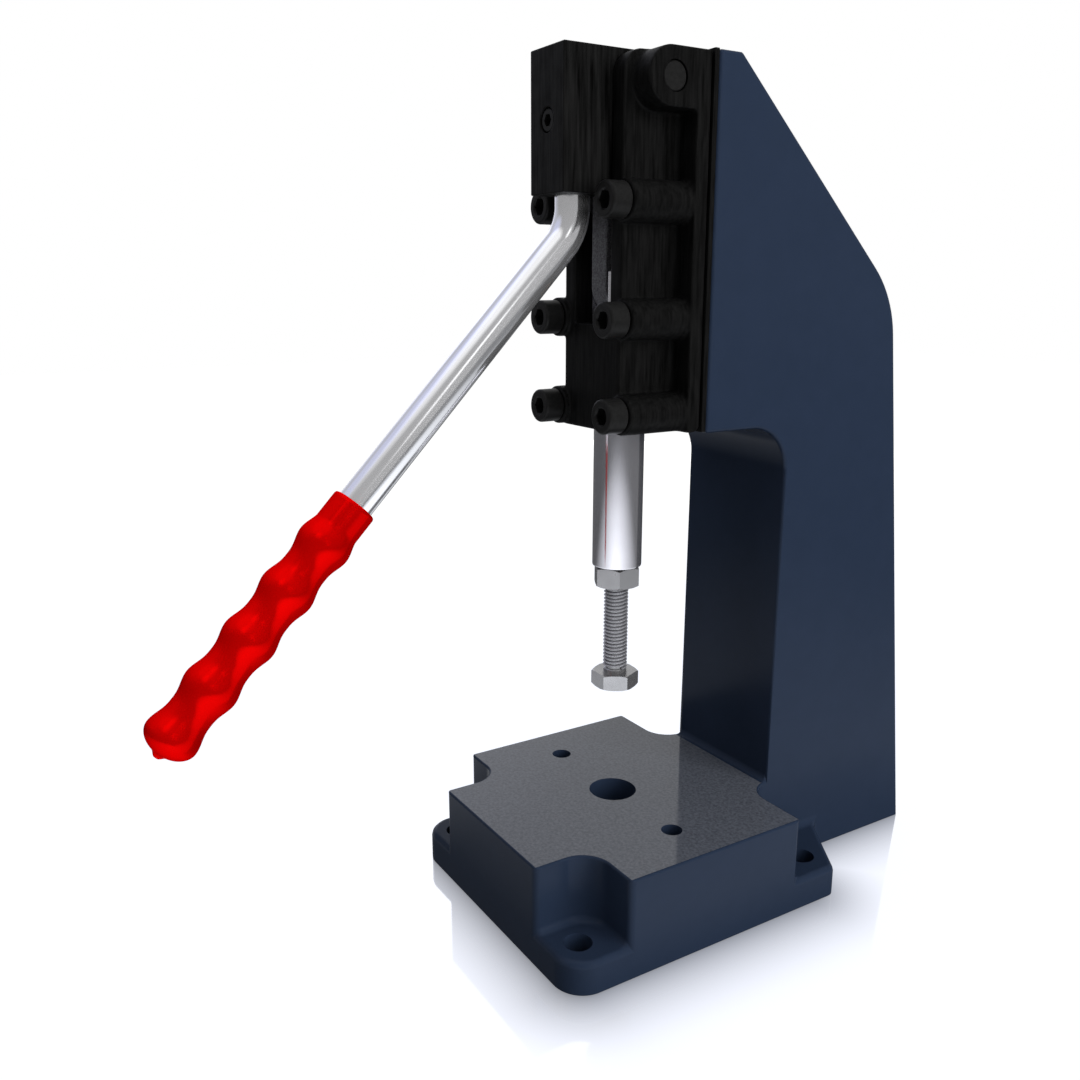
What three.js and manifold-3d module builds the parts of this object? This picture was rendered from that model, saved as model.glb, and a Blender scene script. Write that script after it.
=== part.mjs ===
import * as THREE from "three";
import { mergeVertices } from "three/addons/utils/BufferGeometryUtils.js";
import Module from "manifold-3d";

// Manual toggle press
// Millimetres, +Z up. The operator stands on the -Y side and +X is to the operator's right.
// Every place below is measured from the foot of the ram's axis on the bench. At the end the
// whole press is moved so that the origin lies in the middle of its footprint on the bench.

const wasm = await Module();
wasm.setup();

// Fits, one value for each kind of seat
const seatGap = 0.3;
const boreGap = 0.3;
const sideGap = 0.35;
const cheekGap = 0.5;
const sweepGap = 0.6;
const overrun = 2;

// Facet counts
const largeRoundFacets = 48;
const roundFacets = 32;
const smallRoundFacets = 24;
const hexFacets = 6;
const arcStep = THREE.MathUtils.degToRad(12);

// Cast frame: foot, table and C-shaped column in one piece
const frame = {
  width: 124,
  frontY: -61.5,
  tableHeight: 41.5,
  tableRearY: 50,
  footThickness: 13.6,
  footCornerRadius: 12.5,
  footSideEndY: 71.5,
  footSideEndRadius: 4,
  footRearY: 92,
  notchWidth: 25.6,
  notchLength: 25.6,
  notchRadius: 12,
  columnWidth: 60,
  columnFrontY: 61.5,
  columnRearY: 151,
  rootRadius: 3,
  throatTopZ: 197.5,
  throatRadius: 18,
  shoulderY: 118.9,
  shoulderDrop: 84.8,
  shoulderRadius: 45,
  crownRise: 0.7,
  crownDepth: 10.8,
  crownRadius: 2,
  tableHoleDiameter: 20,
  tappedHoleDiameter: 8.5,
  tappedHoleSpacing: 81,
  tappedHoleDepth: 26,
  boltHoleDiameter: 11,
  boltHoleSideInset: 13.5,
  boltHoleFrontInset: 11.5,
  boltHoleRearInset: 6,
};

// Backing plate between the frame's head and the housing
const plate = { thickness: 2.1 };

// Toggle linkage: the lever arm and the link are equally long, so the link's foot stays on
// the ram's axis however far the lever is lifted
const linkage = {
  arm: 35,
  lift: THREE.MathUtils.degToRad(60),
  pivotPinDiameter: 10,
  pivotPinRecess: 0.3,
  jointPinDiameter: 8,
  jointPinSetback: 0.3,
  ramPinAboveSlotFloor: 14,
};

// Housing that carries the pivot and guides the ram
const housing = {
  sill: 0.8,
  guideHeight: 40,
  guideWall: 2.2,
  cheekThickness: 7,
  rearWall: 3.9,
  slotRearGap: 1.4,
  hubHeight: 20,
  hubNose: 1,
  flangeMargin: 0.25,
  flangeThickness: 6,
  webFillet: 4,
  edgeRadius: 1.5,
  noseRadius: 8,
  heelRadius: 3,
  bossMargin: 1,
  bossProud: 2.1,
  pinRingWidth: 1.3,
  pinRingDepth: 0.8,
};

// Socket head cap screws that hold the housing and the plate to the frame
const capScrew = {
  diameter: 8,
  length: 50,
  headDiameter: 13,
  headHeight: 8,
  headChamfer: 0.8,
  socketAcrossFlats: 6,
  socketDepth: 4,
  spacingToColumnWidth: 43 / 60,
  bottomAboveHousing: 7.5,
  middleAboveHousing: 42,
  topAboveHousing: 83.2,
  tappedDepthBeyondTip: 3,
};

// Bush that guides the ram in the housing
const guideBush = { wall: 1, setback: 2 };

// Lever block, measured from the main pivot
const leverBlock = {
  width: 22,
  drop: 38.1,
  hubRadius: 11,
  rodAxisY: -22.9,
  frontWall: 4.3,
  socketRoof: 5.5,
  setScrewDrop: 13.3,
  bushWall: 1.4,
  edgeRadius: 1,
};

// Set screw that clamps the lever rod in the block
const setScrew = { diameter: 8, recess: 0.4, bite: 2.4, socketAcrossFlats: 4, socketDepth: 3 };

// Bent lever rod
const leverRod = {
  diameter: 13,
  bendBelowBlock: 12,
  bendRadius: 20,
  bendAngle: THREE.MathUtils.degToRad(43.6),
  endInset: 0.6,
  bendSteps: 8,
};

// Moulded hand grip, measured along the rod from the bend's corner
const grip = {
  start: 128.5,
  collarDiameter: 16.3,
  collarRadius: 0.8,
  waistDiameter: 15.75,
  bulgeDiameter: 19.3,
  pitch: 20,
  firstBulge: 17.4,
  bulgeCount: 5,
  bulgeSharpness: 2.7,
  tipLength: 8.1,
  endWall: 5.7,
  stepsPerPitch: 8,
};

// Link between the lever and the ram
const link = { width: 22, thickness: 9.5, bushWall: 1.1 };

// Ram
const ram = {
  diameter: 20,
  length: 116.4,
  rimChamfer: 1.2,
  rimChamferHeight: 2.5,
  headAbovePin: 5.9,
  shoulderGap: 2.7,
  headChamfer: 0.8,
  tappedDepth: 37,
};

// Adjusting spindle, a hexagon bolt held by a lock nut
const spindle = {
  diameter: 10,
  length: 60,
  projection: 45.4,
  acrossFlats: 17,
  headHeight: 6.4,
  nutHeight: 8,
  cornerChamfer: 0.9,
};

// Heights worked out from the sizes above
const housingBottomZ = frame.throatTopZ + housing.sill;
const slotFloorZ = housingBottomZ + housing.guideHeight;
const ramPinZ = slotFloorZ + linkage.ramPinAboveSlotFloor;
const pivotZ = ramPinZ + 2 * linkage.arm;
const housingTopZ = pivotZ + housing.hubHeight / 2;
const crownZ = housingTopZ + frame.crownRise;
const ramBottomZ = ramPinZ + ram.headAbovePin - ram.length;

// Widths
const halfWidth = frame.width / 2;
const halfColumn = frame.columnWidth / 2;
const screwX = (frame.columnWidth * capScrew.spacingToColumnWidth) / 2;
const halfSlot = leverBlock.width / 2 + cheekGap;
const halfCore = halfSlot + housing.cheekThickness;
const bossRadius = capScrew.headDiameter / 2 + housing.bossMargin;
const halfFlange = screwX + bossRadius + housing.flangeMargin;
const forkWidth = link.thickness + 2 * sideGap;
const screwColumns = { left: -screwX, right: screwX };
const screwRows = {
  bottom: housingBottomZ + capScrew.bottomAboveHousing,
  middle: housingBottomZ + capScrew.middleAboveHousing,
  top: housingBottomZ + capScrew.topAboveHousing,
};

// Radii
const guideBoreRadius = ram.diameter / 2 + guideBush.wall + 2 * boreGap;
const ramHeadRadius = halfSlot - boreGap;
const linkEyeRadius = link.width / 2;
const rodSocketRadius = leverRod.diameter / 2 + boreGap;

// Depths, from the operator's side to the rear
const housingFrontY = -guideBoreRadius - housing.guideWall;
const bossFrontY = housingFrontY - housing.bossProud;
const slotRearY = leverBlock.hubRadius + housing.slotRearGap;
const housingRearY = slotRearY + housing.rearWall;
const flangeFrontY = housingRearY - housing.flangeThickness;
const plateFrontY = housingRearY + seatGap;
const plateRearY = plateFrontY + plate.thickness;
const headFrontY = plateRearY + seatGap;
const headSeatY = bossFrontY - seatGap;
const screwTipY = headSeatY + capScrew.length;
const blockFrontY = leverBlock.rodAxisY - rodSocketRadius - leverBlock.frontWall;
const setScrewTipY = leverBlock.rodAxisY - leverRod.diameter / 2 + setScrew.bite;

// Along the lever rod, from the bend's corner
const gripLength = grip.firstBulge + (grip.bulgeCount - 1) * grip.pitch + grip.tipLength;
const rodReach = grip.start + gripLength - grip.endWall - seatGap;
const bendDrop = leverBlock.drop + leverRod.bendBelowBlock;
const rodSocketTop = leverBlock.hubRadius - leverBlock.socketRoof;

// The ram follows the lever at a constant rate, but a toggle starts slowly, so the ram runs
// ahead of the link's foot. Its pin slot is longer than the pin by the largest lead.
const stroke = 2 * linkage.arm * (1 - Math.cos(linkage.lift));
const strokeRate = stroke / linkage.lift;
const leadAngle = Math.asin(strokeRate / (2 * linkage.arm));
const ramLead = strokeRate * leadAngle - 2 * linkage.arm * (1 - Math.cos(leadAngle));

// Solids

function toSolid(geometry) {
  const bare = geometry.clone();
  bare.deleteAttribute("normal");
  bare.deleteAttribute("uv");
  const welded = mergeVertices(bare);
  return new wasm.Manifold(
    new wasm.Mesh({
      numProp: 3,
      vertProperties: new Float32Array(welded.attributes.position.array),
      triVerts: new Uint32Array(welded.index.array),
    })
  );
}

function toGeometry(solid) {
  const mesh = solid.getMesh();
  const geometry = new THREE.BufferGeometry();
  geometry.setAttribute("position", new THREE.BufferAttribute(mesh.vertProperties, mesh.numProp));
  geometry.setIndex(new THREE.BufferAttribute(mesh.triVerts, 1));
  geometry.computeVertexNormals();
  return geometry;
}

// Outline through corners of [x, y, radius], each round corner as an arc
function roundedOutline(corners) {
  const points = [];
  corners.forEach(([x, y, radius = 0], i) => {
    const corner = new THREE.Vector2(x, y);
    if (radius === 0) {
      points.push(corner);
      return;
    }
    const before = corners.at(i - 1);
    const after = corners[(i + 1) % corners.length];
    const towardsBefore = new THREE.Vector2(before[0], before[1]).sub(corner).normalize();
    const towardsAfter = new THREE.Vector2(after[0], after[1]).sub(corner).normalize();
    const halfAngle = Math.acos(towardsBefore.dot(towardsAfter)) / 2;
    const bisector = towardsBefore.clone().add(towardsAfter).normalize();
    const centre = corner.clone().addScaledVector(bisector, radius / Math.sin(halfAngle));
    const start = corner.clone().addScaledVector(towardsBefore, radius / Math.tan(halfAngle));
    const turn = Math.sign(towardsAfter.cross(towardsBefore));
    const sweep = Math.PI - 2 * halfAngle;
    const steps = Math.max(1, Math.ceil(sweep / arcStep));
    for (let step = 0; step <= steps; step++) {
      points.push(start.clone().rotateAround(centre, (turn * sweep * step) / steps));
    }
  });
  return new THREE.Shape(points);
}

// Outline in X and Y, raised from one height to another
function upright(shape, fromZ, toZ) {
  const geometry = new THREE.ExtrudeGeometry(shape, { depth: toZ - fromZ, bevelEnabled: false });
  return toSolid(geometry.translate(0, 0, fromZ));
}

// Outline in Y and Z, as wide as said and centred on the given X
function crosswise(shape, width, centreX = 0) {
  const geometry = new THREE.ExtrudeGeometry(shape, { depth: width, bevelEnabled: false });
  const alongX = new THREE.Matrix4().makeBasis(
    new THREE.Vector3(0, 1, 0),
    new THREE.Vector3(0, 0, 1),
    new THREE.Vector3(1, 0, 0)
  );
  return toSolid(geometry.applyMatrix4(alongX).translate(centreX - width / 2, 0, 0));
}

function cylinderAlong(axis, radius, centre, from, to, facets = roundFacets) {
  const geometry = new THREE.CylinderGeometry(radius, radius, to - from, facets);
  const middle = (from + to) / 2;
  if (axis === "x") geometry.rotateZ(-Math.PI / 2).translate(middle, centre[0], centre[1]);
  if (axis === "y") geometry.translate(centre[0], middle, centre[1]);
  if (axis === "z") geometry.rotateX(Math.PI / 2).translate(centre[0], centre[1], middle);
  return toSolid(geometry);
}

// Body of revolution about Z through points of [radius, height]
function turned(profile, facets = roundFacets) {
  const points = profile.map(([radius, height]) => new THREE.Vector2(radius, height));
  return toSolid(new THREE.LatheGeometry(points, facets).rotateX(Math.PI / 2));
}

function tube(innerRadius, outerRadius, fromZ, toZ, facets = roundFacets) {
  const outer = cylinderAlong("z", outerRadius, [0, 0], fromZ, toZ, facets);
  return outer.subtract(
    cylinderAlong("z", innerRadius, [0, 0], fromZ - overrun, toZ + overrun, facets)
  );
}

function hexPrism(acrossFlats, fromZ, toZ) {
  const cornerRadius = acrossFlats / 2 / Math.cos(Math.PI / hexFacets);
  return cylinderAlong("z", cornerRadius, [0, 0], fromZ, toZ, hexFacets);
}

// Hexagon with its corners turned down at both ends, as on a nut or a bolt head
function chamferedHex(acrossFlats, fromZ, toZ, chamfer) {
  const cornerRadius = acrossFlats / 2 / Math.cos(Math.PI / hexFacets);
  const faceRadius = cornerRadius - chamfer;
  const slope = chamfer / 2;
  const barrel = turned([
    [0, fromZ],
    [faceRadius, fromZ],
    [cornerRadius, fromZ + slope],
    [cornerRadius, toZ - slope],
    [faceRadius, toZ],
    [0, toZ],
  ]);
  return hexPrism(acrossFlats, fromZ, toZ).intersect(barrel);
}

function mirrored(solid) {
  return solid.add(solid.mirror([1, 0, 0]));
}

// Frame

function makeTableOutline() {
  const shoulderX = halfWidth - frame.notchWidth;
  const notchY = frame.frontY + frame.notchLength;
  const joinY = (frame.columnFrontY + frame.columnRearY) / 2;
  return roundedOutline([
    [-shoulderX, frame.frontY],
    [shoulderX, frame.frontY],
    [shoulderX, notchY, frame.notchRadius],
    [halfWidth, notchY],
    [halfWidth, frame.tableRearY],
    [halfColumn, frame.tableRearY, frame.notchRadius],
    [halfColumn, joinY],
    [-halfColumn, joinY],
    [-halfColumn, frame.tableRearY, frame.notchRadius],
    [-halfWidth, frame.tableRearY],
    [-halfWidth, notchY],
    [-shoulderX, notchY, frame.notchRadius],
  ]);
}

function makeFootOutline() {
  return roundedOutline([
    [-halfWidth, frame.frontY, frame.footCornerRadius],
    [halfWidth, frame.frontY, frame.footCornerRadius],
    [halfWidth, frame.footSideEndY, frame.footSideEndRadius],
    [halfColumn, frame.footRearY],
    [-halfColumn, frame.footRearY],
    [-halfWidth, frame.footSideEndY, frame.footSideEndRadius],
  ]);
}

function makeColumnOutline() {
  return roundedOutline([
    [frame.tableRearY, 0],
    [frame.columnRearY, 0],
    [frame.shoulderY, crownZ - frame.shoulderDrop, frame.shoulderRadius],
    [headFrontY + frame.crownDepth, crownZ, frame.crownRadius],
    [headFrontY, crownZ],
    [headFrontY, frame.throatTopZ],
    [frame.columnFrontY, frame.throatTopZ, frame.throatRadius],
    [frame.columnFrontY, frame.tableHeight, frame.rootRadius],
    [frame.tableRearY, frame.tableHeight],
  ]);
}

function makeFrame() {
  const tableHole = cylinderAlong(
    "z", frame.tableHoleDiameter / 2, [0, 0], -overrun, frame.tableHeight + overrun, largeRoundFacets
  );
  const tappedHole = cylinderAlong(
    "z", frame.tappedHoleDiameter / 2, [frame.tappedHoleSpacing / 2, 0],
    frame.tableHeight - frame.tappedHoleDepth, frame.tableHeight + overrun, smallRoundFacets
  );
  let casting = upright(makeFootOutline(), 0, frame.footThickness)
    .add(upright(makeTableOutline(), 0, frame.tableHeight))
    .add(crosswise(makeColumnOutline(), frame.columnWidth))
    .subtract(tableHole)
    .subtract(mirrored(tappedHole));
  const boltHoleX = halfWidth - frame.boltHoleSideInset;
  const frontHoleY = frame.frontY + frame.boltHoleFrontInset;
  const rearHoleY = frame.footSideEndY - frame.boltHoleRearInset;
  for (const holeY of [frontHoleY, rearHoleY]) {
    const boltHole = cylinderAlong(
      "z", frame.boltHoleDiameter / 2, [boltHoleX, holeY],
      -overrun, frame.footThickness + overrun, smallRoundFacets
    );
    casting = casting.subtract(mirrored(boltHole));
  }
  const holeEndY = screwTipY + capScrew.tappedDepthBeyondTip;
  return casting.subtract(makeScrewHoles(headFrontY - overrun, holeEndY));
}

// Clearance holes for all the cap screws
function makeScrewHoles(fromY, toY) {
  const radius = capScrew.diameter / 2 + boreGap;
  return Object.values(screwRows)
    .map((rowZ) =>
      mirrored(
        cylinderAlong("y", radius, [screwColumns.right, rowZ], fromY, toY, smallRoundFacets)
      )
    )
    .reduce((holes, hole) => holes.add(hole));
}

// Head of the press

function makePlate() {
  const outline = roundedOutline([
    [-halfColumn, plateFrontY],
    [halfColumn, plateFrontY],
    [halfColumn, plateRearY],
    [-halfColumn, plateRearY],
  ]);
  return upright(outline, housingBottomZ, crownZ).subtract(
    makeScrewHoles(plateFrontY - overrun, plateRearY + overrun)
  );
}

function makeHousingBody() {
  const plan = roundedOutline([
    [-halfCore, housingFrontY, housing.edgeRadius],
    [halfCore, housingFrontY, housing.edgeRadius],
    [halfCore, flangeFrontY, housing.webFillet],
    [halfFlange, flangeFrontY, housing.edgeRadius],
    [halfFlange, housingRearY],
    [-halfFlange, housingRearY],
    [-halfFlange, flangeFrontY, housing.edgeRadius],
    [-halfCore, flangeFrontY, housing.webFillet],
  ]);
  const side = roundedOutline([
    [housingFrontY, housingBottomZ, housing.edgeRadius],
    [housingRearY, housingBottomZ, housing.heelRadius],
    [housingRearY, housingTopZ],
    [housingFrontY, housingTopZ, housing.noseRadius],
  ]);
  return upright(plan, housingBottomZ, housingTopZ).intersect(
    crosswise(side, 2 * halfFlange + overrun)
  );
}

// Raised pads round the main pivot, with a round nose and a tail that runs into the flange
function makeHubs() {
  const radius = housing.hubHeight / 2;
  const noseY = -radius - housing.hubNose;
  const tailY = flangeFrontY + overrun;
  const outline = roundedOutline([
    [noseY, pivotZ - radius, radius],
    [tailY, pivotZ - radius],
    [tailY, housingTopZ],
    [noseY, housingTopZ, radius],
  ]);
  return crosswise(outline, 2 * halfFlange);
}

// Round bosses that carry the cap screws to the flange
function makeBosses() {
  return Object.values(screwRows)
    .map((rowZ) =>
      mirrored(
        cylinderAlong(
          "y", bossRadius, [screwColumns.right, rowZ],
          bossFrontY, flangeFrontY + overrun, smallRoundFacets
        )
      )
    )
    .reduce((bosses, boss) => bosses.add(boss));
}

function makeHousing() {
  const slotFrontY = bossFrontY - overrun;
  const slot = crosswise(
    roundedOutline([
      [slotFrontY, slotFloorZ],
      [slotRearY, slotFloorZ],
      [slotRearY, housingTopZ + overrun],
      [slotFrontY, housingTopZ + overrun],
    ]),
    2 * halfSlot
  );
  const guideBore = cylinderAlong(
    "z", guideBoreRadius, [0, 0], housingBottomZ - overrun, slotFloorZ + overrun
  );
  const pinRadius = linkage.pivotPinDiameter / 2;
  const boreEndX = halfFlange + overrun;
  const pivotBore = cylinderAlong(
    "x", pinRadius + boreGap, [0, pivotZ], -boreEndX, boreEndX, smallRoundFacets
  );
  const pinRing = cylinderAlong(
    "x", pinRadius + housing.pinRingWidth, [0, pivotZ],
    halfFlange - housing.pinRingDepth, boreEndX, smallRoundFacets
  );
  return makeHousingBody()
    .add(makeHubs())
    .add(makeBosses())
    .subtract(slot)
    .subtract(guideBore)
    .subtract(pivotBore)
    .subtract(mirrored(pinRing))
    .subtract(makeScrewHoles(bossFrontY - overrun, housingRearY + overrun));
}

// Along Z from the underside of its head, the head below
function makeCapScrew() {
  const headRadius = capScrew.headDiameter / 2;
  const chamfer = capScrew.headChamfer;
  const radius = capScrew.diameter / 2;
  return turned([
    [0, -capScrew.headHeight],
    [headRadius - chamfer, -capScrew.headHeight],
    [headRadius, -capScrew.headHeight + chamfer],
    [headRadius, 0],
    [radius, 0],
    [radius, capScrew.length - chamfer],
    [radius - chamfer, capScrew.length],
    [0, capScrew.length],
  ], smallRoundFacets).subtract(
    hexPrism(
      capScrew.socketAcrossFlats,
      -capScrew.headHeight - overrun,
      -capScrew.headHeight + capScrew.socketDepth
    )
  );
}

function makeGuideBush() {
  const innerRadius = ram.diameter / 2 + boreGap;
  const length = housing.guideHeight - 2 * guideBush.setback;
  return tube(innerRadius, innerRadius + guideBush.wall, 0, length, largeRoundFacets);
}

// Pins lie along X
function makePin(diameter, length, facets = roundFacets) {
  return cylinderAlong("x", diameter / 2, [0, 0], -length / 2, length / 2, facets);
}

function makeBush(pinDiameter, wall, length) {
  const innerRadius = pinDiameter / 2 + boreGap;
  const outer = cylinderAlong("x", innerRadius + wall, [0, 0], -length / 2, length / 2);
  const halfCut = length / 2 + overrun;
  return outer.subtract(cylinderAlong("x", innerRadius, [0, 0], -halfCut, halfCut));
}

// Lever, measured from the main pivot

// The slot that lets the link fold back between the block's two ears
function makeLinkSlot() {
  const radius = linkEyeRadius + sweepGap;
  const fold = 2 * linkage.lift;
  const rise = fold - Math.PI / 2;
  const rearY = leverBlock.hubRadius + overrun;
  const lowZ = -linkage.arm - leverBlock.hubRadius - overrun;
  const cornerZ = -linkage.arm + radius / Math.cos(rise);
  return crosswise(
    roundedOutline([
      [-radius, lowZ],
      [rearY, lowZ],
      [rearY, cornerZ + rearY * Math.tan(rise)],
      [-radius, cornerZ - radius * Math.tan(rise), radius],
    ]),
    forkWidth
  );
}

function makeLeverBlock() {
  const { width, drop, hubRadius } = leverBlock;
  const body = crosswise(
    roundedOutline([
      [blockFrontY, -drop, leverBlock.edgeRadius],
      [hubRadius, -drop],
      [hubRadius, hubRadius, hubRadius],
      [blockFrontY, hubRadius, leverBlock.edgeRadius],
    ]),
    width
  );
  const ears = makePin(2 * hubRadius, width).translate([0, 0, -linkage.arm]);
  const pivotBore = makePin(
    linkage.pivotPinDiameter + 4 * boreGap + 2 * leverBlock.bushWall, width + overrun
  );
  const jointBore = makePin(linkage.jointPinDiameter + 2 * boreGap, width + overrun)
    .translate([0, 0, -linkage.arm]);
  const rodSocket = cylinderAlong(
    "z", rodSocketRadius, [0, leverBlock.rodAxisY], -drop - overrun, rodSocketTop
  );
  const screwHole = cylinderAlong(
    "y", setScrew.diameter / 2 + boreGap, [0, -leverBlock.setScrewDrop],
    blockFrontY - overrun, leverBlock.rodAxisY, smallRoundFacets
  );
  return body
    .add(ears)
    .subtract(makeLinkSlot())
    .subtract(pivotBore)
    .subtract(jointBore)
    .subtract(rodSocket)
    .subtract(screwHole);
}

// Along Z from its socket end, at the front, to its tip in the seat drilled in the rod
function makeSetScrew() {
  const frontY = blockFrontY + setScrew.recess;
  const body = cylinderAlong(
    "z", setScrew.diameter / 2, [0, 0], frontY, setScrewTipY, smallRoundFacets
  );
  return body.subtract(
    hexPrism(setScrew.socketAcrossFlats, frontY - overrun, frontY + setScrew.socketDepth)
  );
}

// Path of the rod: straight down, round the bend and straight out along the handle. It is
// sampled at chosen stations, so that the steps are close only where the rod bends.
class BentRodPath extends THREE.Curve {
  constructor() {
    super();
    const { bendRadius, bendAngle, bendSteps } = leverRod;
    const topZ = rodSocketTop - leverRod.endInset;
    const corner = new THREE.Vector3(0, leverBlock.rodAxisY, -bendDrop);
    const bendStartZ = -bendDrop + bendRadius * Math.tan(bendAngle / 2);
    const bendCentre = new THREE.Vector3(0, leverBlock.rodAxisY - bendRadius, bendStartZ);
    const down = new THREE.Vector3(0, 0, -1);
    const outwards = new THREE.Vector3(0, -Math.sin(bendAngle), -Math.cos(bendAngle));
    this.stations = [{ point: new THREE.Vector3(0, leverBlock.rodAxisY, topZ), tangent: down }];
    for (let step = 0; step <= bendSteps; step++) {
      const angle = (bendAngle * step) / bendSteps;
      const spoke = new THREE.Vector3(0, Math.cos(angle), -Math.sin(angle));
      this.stations.push({
        point: bendCentre.clone().addScaledVector(spoke, bendRadius),
        tangent: new THREE.Vector3(0, -Math.sin(angle), -Math.cos(angle)),
      });
    }
    const end = corner.addScaledVector(outwards, rodReach);
    this.stations.push({ point: end, tangent: outwards });
  }

  get steps() {
    return this.stations.length - 1;
  }

  getPointAt(share) {
    return this.stations[Math.round(share * this.steps)].point.clone();
  }

  getTangentAt(share) {
    return this.stations[Math.round(share * this.steps)].tangent.clone();
  }
}

function makeLeverRod() {
  const path = new BentRodPath();
  const radius = leverRod.diameter / 2;
  const section = new THREE.Shape();
  section.absarc(0, 0, radius, 0, 2 * Math.PI);
  const bar = new THREE.ExtrudeGeometry(section, {
    curveSegments: smallRoundFacets / 2,
    steps: path.steps,
    extrudePath: path,
    bevelEnabled: false,
  });
  const seat = cylinderAlong(
    "y", setScrew.diameter / 2 + boreGap, [0, -leverBlock.setScrewDrop],
    blockFrontY, setScrewTipY + seatGap, smallRoundFacets
  );
  return toSolid(bar).subtract(seat);
}

// Grip along Z from its collar, its tip above
function makeGrip() {
  const { pitch, firstBulge, bulgeCount, stepsPerPitch, tipLength } = grip;
  const waist = grip.waistDiameter / 2;
  const bulge = grip.bulgeDiameter / 2;
  const collar = grip.collarDiameter / 2;
  const boreRadius = leverRod.diameter / 2 + boreGap;
  const boreEnd = gripLength - grip.endWall;
  const waveStart = firstBulge - pitch / 2;
  const lastBulge = firstBulge + (bulgeCount - 1) * pitch;
  const profile = [
    [boreRadius, 0],
    [collar - grip.collarRadius, 0],
    [collar, grip.collarRadius],
    [collar, waveStart],
  ];
  const waveSteps = (bulgeCount - 1 / 2) * stepsPerPitch;
  for (let step = 1; step < waveSteps; step++) {
    const height = waveStart + (step * pitch) / stepsPerPitch;
    const rise = Math.abs(Math.sin((Math.PI * step) / stepsPerPitch)) ** grip.bulgeSharpness;
    const radius = waist + (bulge - waist) * rise;
    profile.push([height < firstBulge ? Math.max(radius, collar) : radius, height]);
  }
  for (let step = 0; step < stepsPerPitch; step++) {
    const angle = (Math.PI / 2) * (step / stepsPerPitch);
    profile.push([bulge * Math.cos(angle), lastBulge + tipLength * Math.sin(angle)]);
  }
  profile.push([0, gripLength], [0, boreEnd], [boreRadius, boreEnd], [boreRadius, 0]);
  return turned(profile, smallRoundFacets);
}

// Link and ram

function makeLink() {
  const radius = linkEyeRadius;
  const body = crosswise(
    roundedOutline([
      [-radius, -linkage.arm - radius, radius],
      [radius, -linkage.arm - radius, radius],
      [radius, radius, radius],
      [-radius, radius, radius],
    ]),
    link.thickness
  );
  const bushBore = makePin(
    linkage.jointPinDiameter + 4 * boreGap + 2 * link.bushWall, link.thickness + overrun
  );
  const pinBore = makePin(linkage.jointPinDiameter + 2 * boreGap, link.thickness + overrun)
    .translate([0, 0, -linkage.arm]);
  return body.subtract(bushBore).subtract(pinBore);
}

// Ram from its lower end, with the fork for the link at the top
function makeRam() {
  const radius = ram.diameter / 2;
  const pinZ = ramPinZ - ramBottomZ;
  const shoulderZ = slotFloorZ + ram.shoulderGap - ramBottomZ;
  const bar = turned([
    [0, 0],
    [radius - ram.rimChamfer, 0],
    [radius, ram.rimChamferHeight],
    [radius, shoulderZ],
    [ramHeadRadius, shoulderZ],
    [ramHeadRadius, ram.length - ram.headChamfer],
    [ramHeadRadius - ram.headChamfer, ram.length],
    [0, ram.length],
  ], largeRoundFacets);
  const slotFloor = pinZ - linkEyeRadius - ramLead - sweepGap;
  const slotEndY = ramHeadRadius + overrun;
  const fork = crosswise(
    roundedOutline([
      [-slotEndY, slotFloor],
      [slotEndY, slotFloor],
      [slotEndY, ram.length + overrun],
      [-slotEndY, ram.length + overrun],
    ]),
    forkWidth
  );
  const slotRadius = linkage.jointPinDiameter / 2 + boreGap;
  const pinSlot = crosswise(
    roundedOutline([
      [-slotRadius, pinZ - ramLead - slotRadius, slotRadius],
      [slotRadius, pinZ - ramLead - slotRadius, slotRadius],
      [slotRadius, pinZ + slotRadius, slotRadius],
      [-slotRadius, pinZ + slotRadius, slotRadius],
    ]),
    2 * slotEndY
  );
  const tappedHole = cylinderAlong(
    "z", spindle.diameter / 2 + boreGap, [0, 0], -overrun, ram.tappedDepth
  );
  return bar.subtract(fork).subtract(pinSlot).subtract(tappedHole);
}

// Spindle bolt from the upper face of its head
function makeSpindle() {
  const radius = spindle.diameter / 2;
  const shank = turned([
    [0, -spindle.headHeight / 2],
    [radius, -spindle.headHeight / 2],
    [radius, spindle.length - spindle.cornerChamfer],
    [radius - spindle.cornerChamfer, spindle.length],
    [0, spindle.length],
  ]);
  return shank.add(
    chamferedHex(spindle.acrossFlats, -spindle.headHeight, 0, spindle.cornerChamfer)
  );
}

function makeLockNut() {
  const bore = cylinderAlong(
    "z", spindle.diameter / 2 + boreGap, [0, 0], -spindle.nutHeight - overrun, overrun
  );
  return chamferedHex(spindle.acrossFlats, -spindle.nutHeight, 0, spindle.cornerChamfer)
    .subtract(bore);
}

// Finishes: colour, roughness, metalness

function finish(color, roughness, metalness) {
  return () => new THREE.MeshStandardMaterial({ color, roughness, metalness });
}

const navyPaint = finish("#2c374c", 0.45, 0.1);
const blackCasting = finish("#1b1b1c", 0.6, 0.3);
const blackSteel = finish("#232324", 0.45, 0.6);
const castLink = finish("#3c3c3e", 0.55, 0.5);
const groundSteel = finish("#c9cacc", 0.18, 1);
const brightChrome = finish("#e2e3e6", 0.08, 1);
const zincSteel = finish("#b4b5b8", 0.3, 1);
const bronze = finish("#a87a3f", 0.35, 0.9);
const redVinyl = finish("#d60a08", 0.25, 0);

// Assembly

function piece(name, solid, makeMaterial, position = [0, 0, 0]) {
  const mesh = new THREE.Mesh(toGeometry(solid), makeMaterial());
  mesh.name = name;
  mesh.position.set(...position);
  return mesh;
}

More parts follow.
